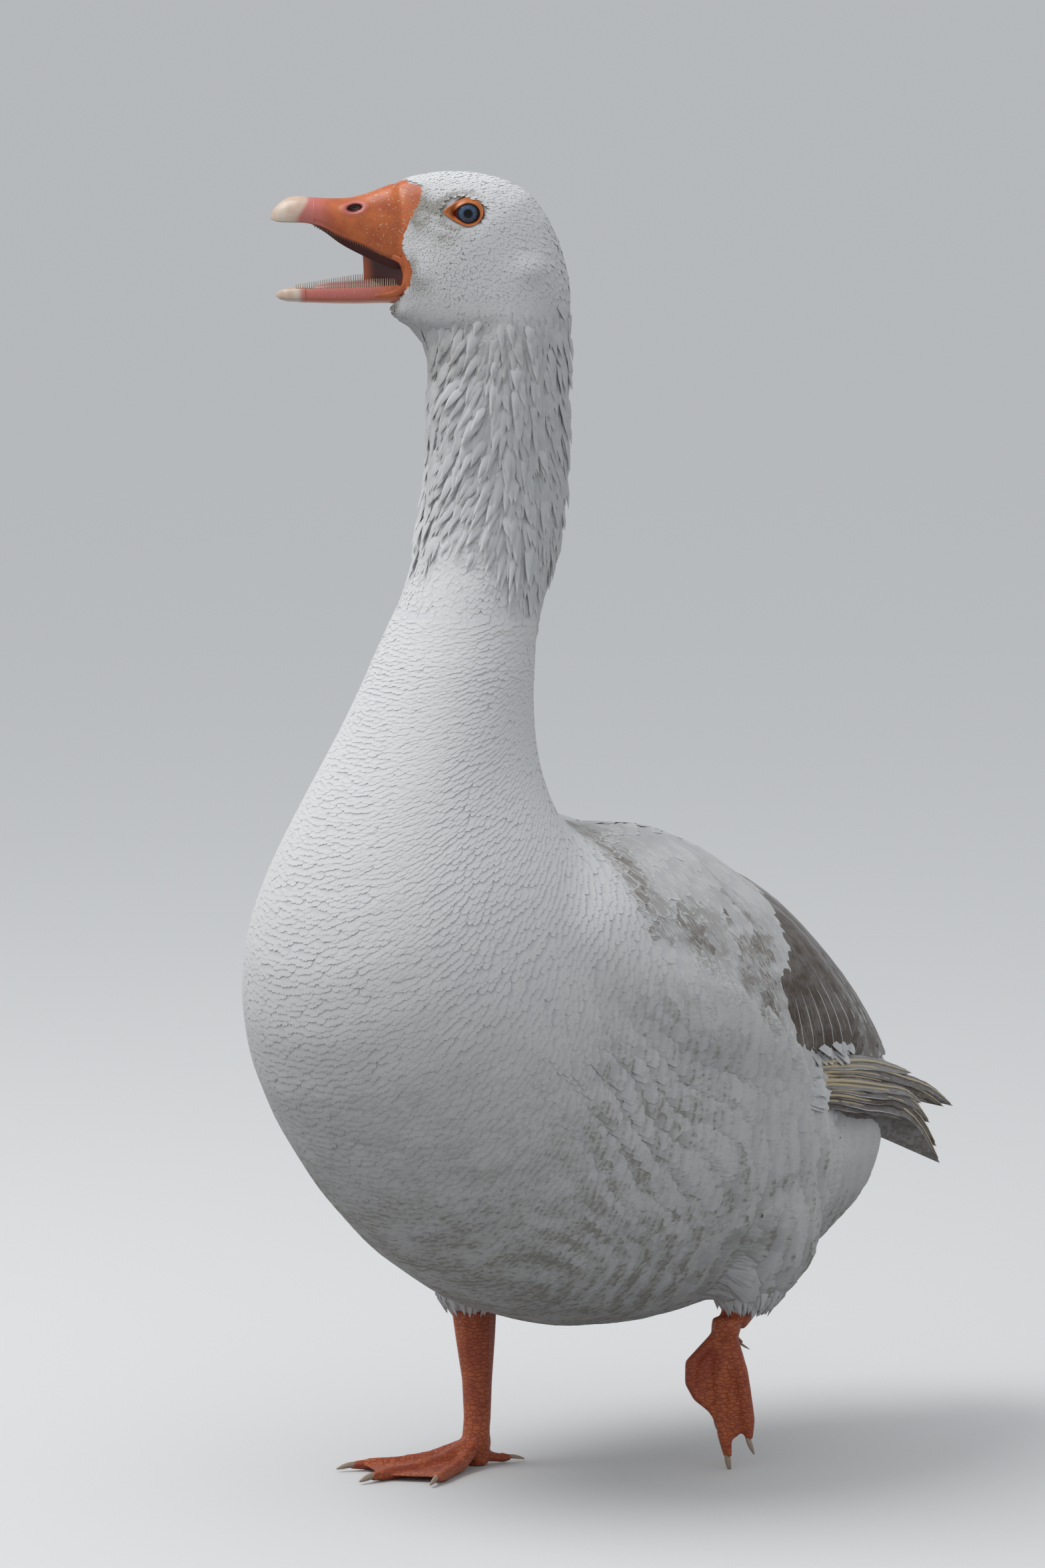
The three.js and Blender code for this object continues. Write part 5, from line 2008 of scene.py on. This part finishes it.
# %% [markdown]
# ## Eyes and lids
#
# The eye is a ball whose front shows through an opening shaped like a drop, its
# point towards the bill. The lids are a ring of bare orange skin. The blue iris,
# its dark rim and the pupil are rings about the ball's own axis.

# %% Eyeballs
EYE_RADIUS = 8.8
EYE_DEEP = 16.4  # how far out from the middle of the head the ball's centre is
PALE_BLUE, DEEP_BLUE = (0.10, 0.155, 0.25), (0.055, 0.095, 0.17)
# Rings over the blue: colour, and where each starts and is full.
IRIS_RINGS = (((0.012, 0.018, 0.03), 4.3, 6.3),
              ((0.16, 0.022, 0.018), 6.3, 6.9),
              ((0.003, 0.003, 0.004), 3.3, 2.2))


def vector_maths(material, operation, first, second=(0, 0, 0)):
    return node(material, "ShaderNodeVectorMath", {0: first, 1: second}, operation=operation).outputs


def iris_finish(hand):
    """Rings round the axis that the ball looks along."""
    material = new_material(f"eye_{SIDE_NAME[hand]}", (0.1, 0.15, 0.22), 0.2,
                            Specular_IOR_Level=0.15, Coat_Weight=0.3, Coat_Roughness=0.03)
    centre = on_head(EYE_AHEAD, EYE_HEIGHT, hand * EYE_DEEP) * MM
    axis = turned((hand, 0, 0), HEAD_TURN)
    arm = vector_maths(material, "SUBTRACT", object_place(material), tuple(centre))[0]
    off_axis = vector_maths(material, "CROSS_PRODUCT", arm, tuple(axis))[0]
    away = vector_maths(material, "LENGTH", off_axis)["Value"]
    rays = noise(material, 700, None, 2)
    colour = mixed(material, ramp(material, rays, 0.35, 0.65), DEEP_BLUE, PALE_BLUE)
    for ring, start, full in IRIS_RINGS:
        colour = mixed(material, ramp(material, away, start * MM, full * MM), colour, ring)
    link(material, colour, "Base Color")
    return material


for hand in (LEFT, RIGHT):
    deselect()
    centre = on_head(EYE_AHEAD, EYE_HEIGHT, hand * EYE_DEEP) * MM
    bpy.ops.mesh.primitive_uv_sphere_add(segments=64, ring_count=40, radius=EYE_RADIUS * MM,
                                         location=centre)
    ball = bpy.context.object
    ball.name = f"eyeball_{SIDE_NAME[hand]}"
    bpy.ops.object.transform_apply(location=True, rotation=True, scale=True)
    bpy.ops.object.shade_smooth()
    ball.data.materials.append(iris_finish(hand))
    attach(ball, "root")
    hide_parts(f"eye_{SIDE_NAME[hand]}")
    print(ball.name, "faces:", len(ball.data.polygons))

# %% [markdown]
# The lids are one ring of bare skin between two outlines shaped like drops, the
# inner on the ball and the outer just under the plumage. Rays from the side keep
# it above both. Its last section is its first, and the doubled points are merged.


# %% Lids
def drop_outline(angles, long, tall, point):
    """An opening shaped like a drop: ahead and height from the eye's centre."""
    ahead = long * np.cos(angles)
    toward = np.clip(np.cos(angles), 0, 1)
    return ahead + point * toward**3, tall * np.sin(angles) * (1 - 0.35 * toward**2)


LID_SKIN = horn_finish("lid", (0.66, 0.20, 0.045), (0.50, 0.12, 0.03))
LID_RISE = 1.1  # the lids reach further above the ball's middle than below it
OVER_BALL, UNDER_COAT = 0.25, 0.5
for hand in (LEFT, RIGHT):
    angles = np.linspace(0, math.tau, 72, endpoint=False)
    inner_ahead, inner_up = drop_outline(angles, 6.9, 5.9, 1.7)
    outer_ahead, outer_up = drop_outline(angles, 9.1, 8.5, 5.4)
    outer_up = outer_up + LID_RISE
    steps = np.linspace(0, 1, 9)[:, None]
    lid_ahead = inner_ahead * (1 - steps) + outer_ahead * steps
    lid_up = inner_up * (1 - steps) + outer_up * steps
    bulge = (EYE_RADIUS + OVER_BALL) ** 2 - lid_ahead**2 - lid_up**2
    ball_out = EYE_DEEP + np.sqrt(np.maximum(bulge, 4))
    rim_out = skin_side(torso_tree, EYE_AHEAD + outer_ahead, EYE_HEIGHT + outer_up, hand)
    blend = smoothstep(steps, 0, 1)
    top = ball_out * (1 - blend) + (rim_out - UNDER_COAT) * blend
    top = top + 1.5 * np.sin(np.pi * steps**0.6)
    flesh = skin_side(skin_tree, EYE_AHEAD + lid_ahead, EYE_HEIGHT + lid_up, hand)
    top = np.maximum(top, flesh + 0.5)
    under = top - 1.6 - 1.5 * steps
    around_ahead, around_up, around_out = (
        np.concatenate((there, back[::-1]))
        for there, back in ((lid_ahead, lid_ahead), (lid_up, lid_up), (top, under)))
    rings = head_points(EYE_AHEAD + around_ahead, EYE_HEIGHT + around_up, hand * around_out)
    rings = np.swapaxes(rings, 0, 1)
    rings = np.concatenate((rings, rings[:1]))
    lid = tube(f"lid_{SIDE_NAME[hand]}", rings, LID_SKIN, np.zeros((*rings.shape[:2], 4)))
    edit_all(lid, bpy.ops.mesh.remove_doubles, threshold=0.01 * MM)

# %% [markdown]
# ## Legs and claws
#
# Shanks and feet are a net of small plates. A Voronoi texture gives the net,
# raises the plates and darkens the creases. A fine voxel remesh rounds the
# solids' facets, and shank and foot become one piece, as on the bird.

# %% Legs
LEG_ORANGE, LEG_SHADE, CREASE = (0.56, 0.14, 0.045), (0.42, 0.085, 0.035), (0.33, 0.06, 0.03)
DRAWN_IN = 0.3  # about what the copy was swollen by


def leg_finish():
    material = new_material("leg", LEG_ORANGE, 0.5)
    squat = stretched(material, object_place(material), (1, 1, 1.9))
    scales = node(material, "ShaderNodeTexVoronoi", {"Vector": squat, "Scale": 230},
                  feature="DISTANCE_TO_EDGE")
    plates = ramp(material, scales.outputs["Distance"], 0, 0.12)
    clouds = noise(material, 60, None, 3)
    base = mixed(material, ramp(material, clouds, 0.35, 0.65), LEG_ORANGE, LEG_SHADE)
    link(material, mixed(material, plates, CREASE, base), "Base Color")
    bump(material, plates, 0.6, 0.4)
    return material


LEG_SKIN = leg_finish()
CLAW_HORN = new_material("claw", (0.45, 0.34, 0.26), 0.4)


def smoothed_copy(title, nodes, grain, softness, finish):
    horn = skin_over(title, nodes, grain, softness)
    set_places(horn, places_of(horn) - DRAWN_IN * normals_of(horn))
    horn.data.materials.append(finish)
    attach(horn, "root")
    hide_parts(*nodes)
    print(f"{title}: {len(horn.data.polygons)} faces")


for hand in (LEFT, RIGHT):
    name = SIDE_NAME[hand]
    smoothed_copy(f"leg_{name}", [f"shank_{name}", f"foot_{name}"], 1.1, 16, LEG_SKIN)
    for toe in ("inner", "middle", "outer", "hind"):
        smoothed_copy(f"nail_{toe}_{name}", [f"claw_{toe}_{name}"], 0.5, 3, CLAW_HORN)

bpy.data.objects.remove(bill_solid)
bpy.data.objects.remove(torso)

# %% [markdown]
# ## Camera, floor and light
#
# The camera stands in front and to the left, a little higher than the bird, and
# far enough away that nothing looks drawn out. The height of the frame at the
# bird is what sets its focal length.

# %% Camera
TARGET = np.array((-14.1, -58.1, 418)) * MM
CAMERA_TURN = math.radians(45)
CAMERA_RISE = math.radians(6)
CAMERA_DISTANCE = 4.5
FRAME_HEIGHT = 940.8 * MM

back = np.array((math.sin(CAMERA_TURN) * math.cos(CAMERA_RISE),
                 -math.cos(CAMERA_TURN) * math.cos(CAMERA_RISE), math.sin(CAMERA_RISE)))
lens = bpy.data.cameras.new("camera")
camera = new_object("camera", lens)
camera.location = TARGET + back * CAMERA_DISTANCE
camera.rotation_euler = (math.pi / 2 - CAMERA_RISE, 0, CAMERA_TURN)
lens.sensor_fit = "VERTICAL"
lens.sensor_height = 24
lens.lens = lens.sensor_height * CAMERA_DISTANCE / FRAME_HEIGHT
bpy.context.scene.camera = camera
print("focal length:", round(lens.lens), "mm")

# %% [markdown]
# The floor is a wide disc. It looks pale to the camera and in mirrors, but
# throws little light back, so that the belly keeps its shade. Light Path tells
# these rays apart.

# %% Floor
deselect()
bpy.ops.mesh.primitive_circle_add(vertices=64, radius=60, fill_type="NGON", location=(0, 0, 0))
floor = bpy.context.object
floor.name = "floor"
PALE, DEEP = 0.80, 0.22  # the floor as it is seen, and as it throws light back
ground = new_material("floor", (DEEP, DEEP, DEEP), 1, Specular_IOR_Level=0)
floor.data.materials.append(ground)


def seen_directly(tree):
    """1 for rays from the camera or a mirror, 0 for rays that carry light about."""
    path = tree.nodes.new("ShaderNodeLightPath")
    total = path.outputs["Is Camera Ray"]
    for title in ("Is Glossy Ray", "Is Transmission Ray"):
        both = tree.nodes.new("ShaderNodeMath")
        both.operation = "ADD"
        both.use_clamp = True
        tree.links.new(total, both.inputs[0])
        tree.links.new(path.outputs[title], both.inputs[1])
        total = both.outputs[0]
    return total


directly = seen_directly(ground.node_tree)
link(ground, mixed(ground, directly, (DEEP, DEEP, DEEP), (PALE, PALE, PALE)), "Base Color")

# %% [markdown]
# Soft light comes from the whole sky, which is darker behind the bird than it
# shines, and one large round lamp overhead gives the form and the shadow.

# %% Light
SKY = 0.62  # strength of the light from all round
LAMP_PLACE = np.array((-0.9, -1.2, 2.7))
LAMP_AIM = np.array((0, 0, 0.4))
LAMP_SIZE, LAMP_POWER = 2.0, 38.0
world = bpy.data.worlds.new("sky")
bpy.context.scene.world = world
world.use_nodes = True
sky = world.node_tree.nodes["Background"]
sky.inputs["Color"].default_value = (0.94, 0.97, 1, 1)
strength = world.node_tree.nodes.new("ShaderNodeMapRange")
strength.inputs["To Min"].default_value = SKY
strength.inputs["To Max"].default_value = SKY * PALE
world.node_tree.links.new(seen_directly(world.node_tree), strength.inputs["Value"])
world.node_tree.links.new(strength.outputs[0], sky.inputs["Strength"])


lamp = bpy.data.lights.new("overhead", "AREA")
lamp.shape = "DISK"
lamp.size = LAMP_SIZE
lamp.energy = LAMP_POWER
softbox = new_object("overhead", lamp)
softbox.location = LAMP_PLACE
aim = LAMP_AIM - LAMP_PLACE
tip = math.atan2(math.hypot(aim[0], aim[1]), -aim[2])
softbox.rotation_euler = (tip, 0, math.atan2(aim[1], aim[0]) - math.pi / 2)
bpy.context.scene.view_settings.view_transform = "Standard"
print("the lamp leans by", round(math.degrees(tip)), "degrees")
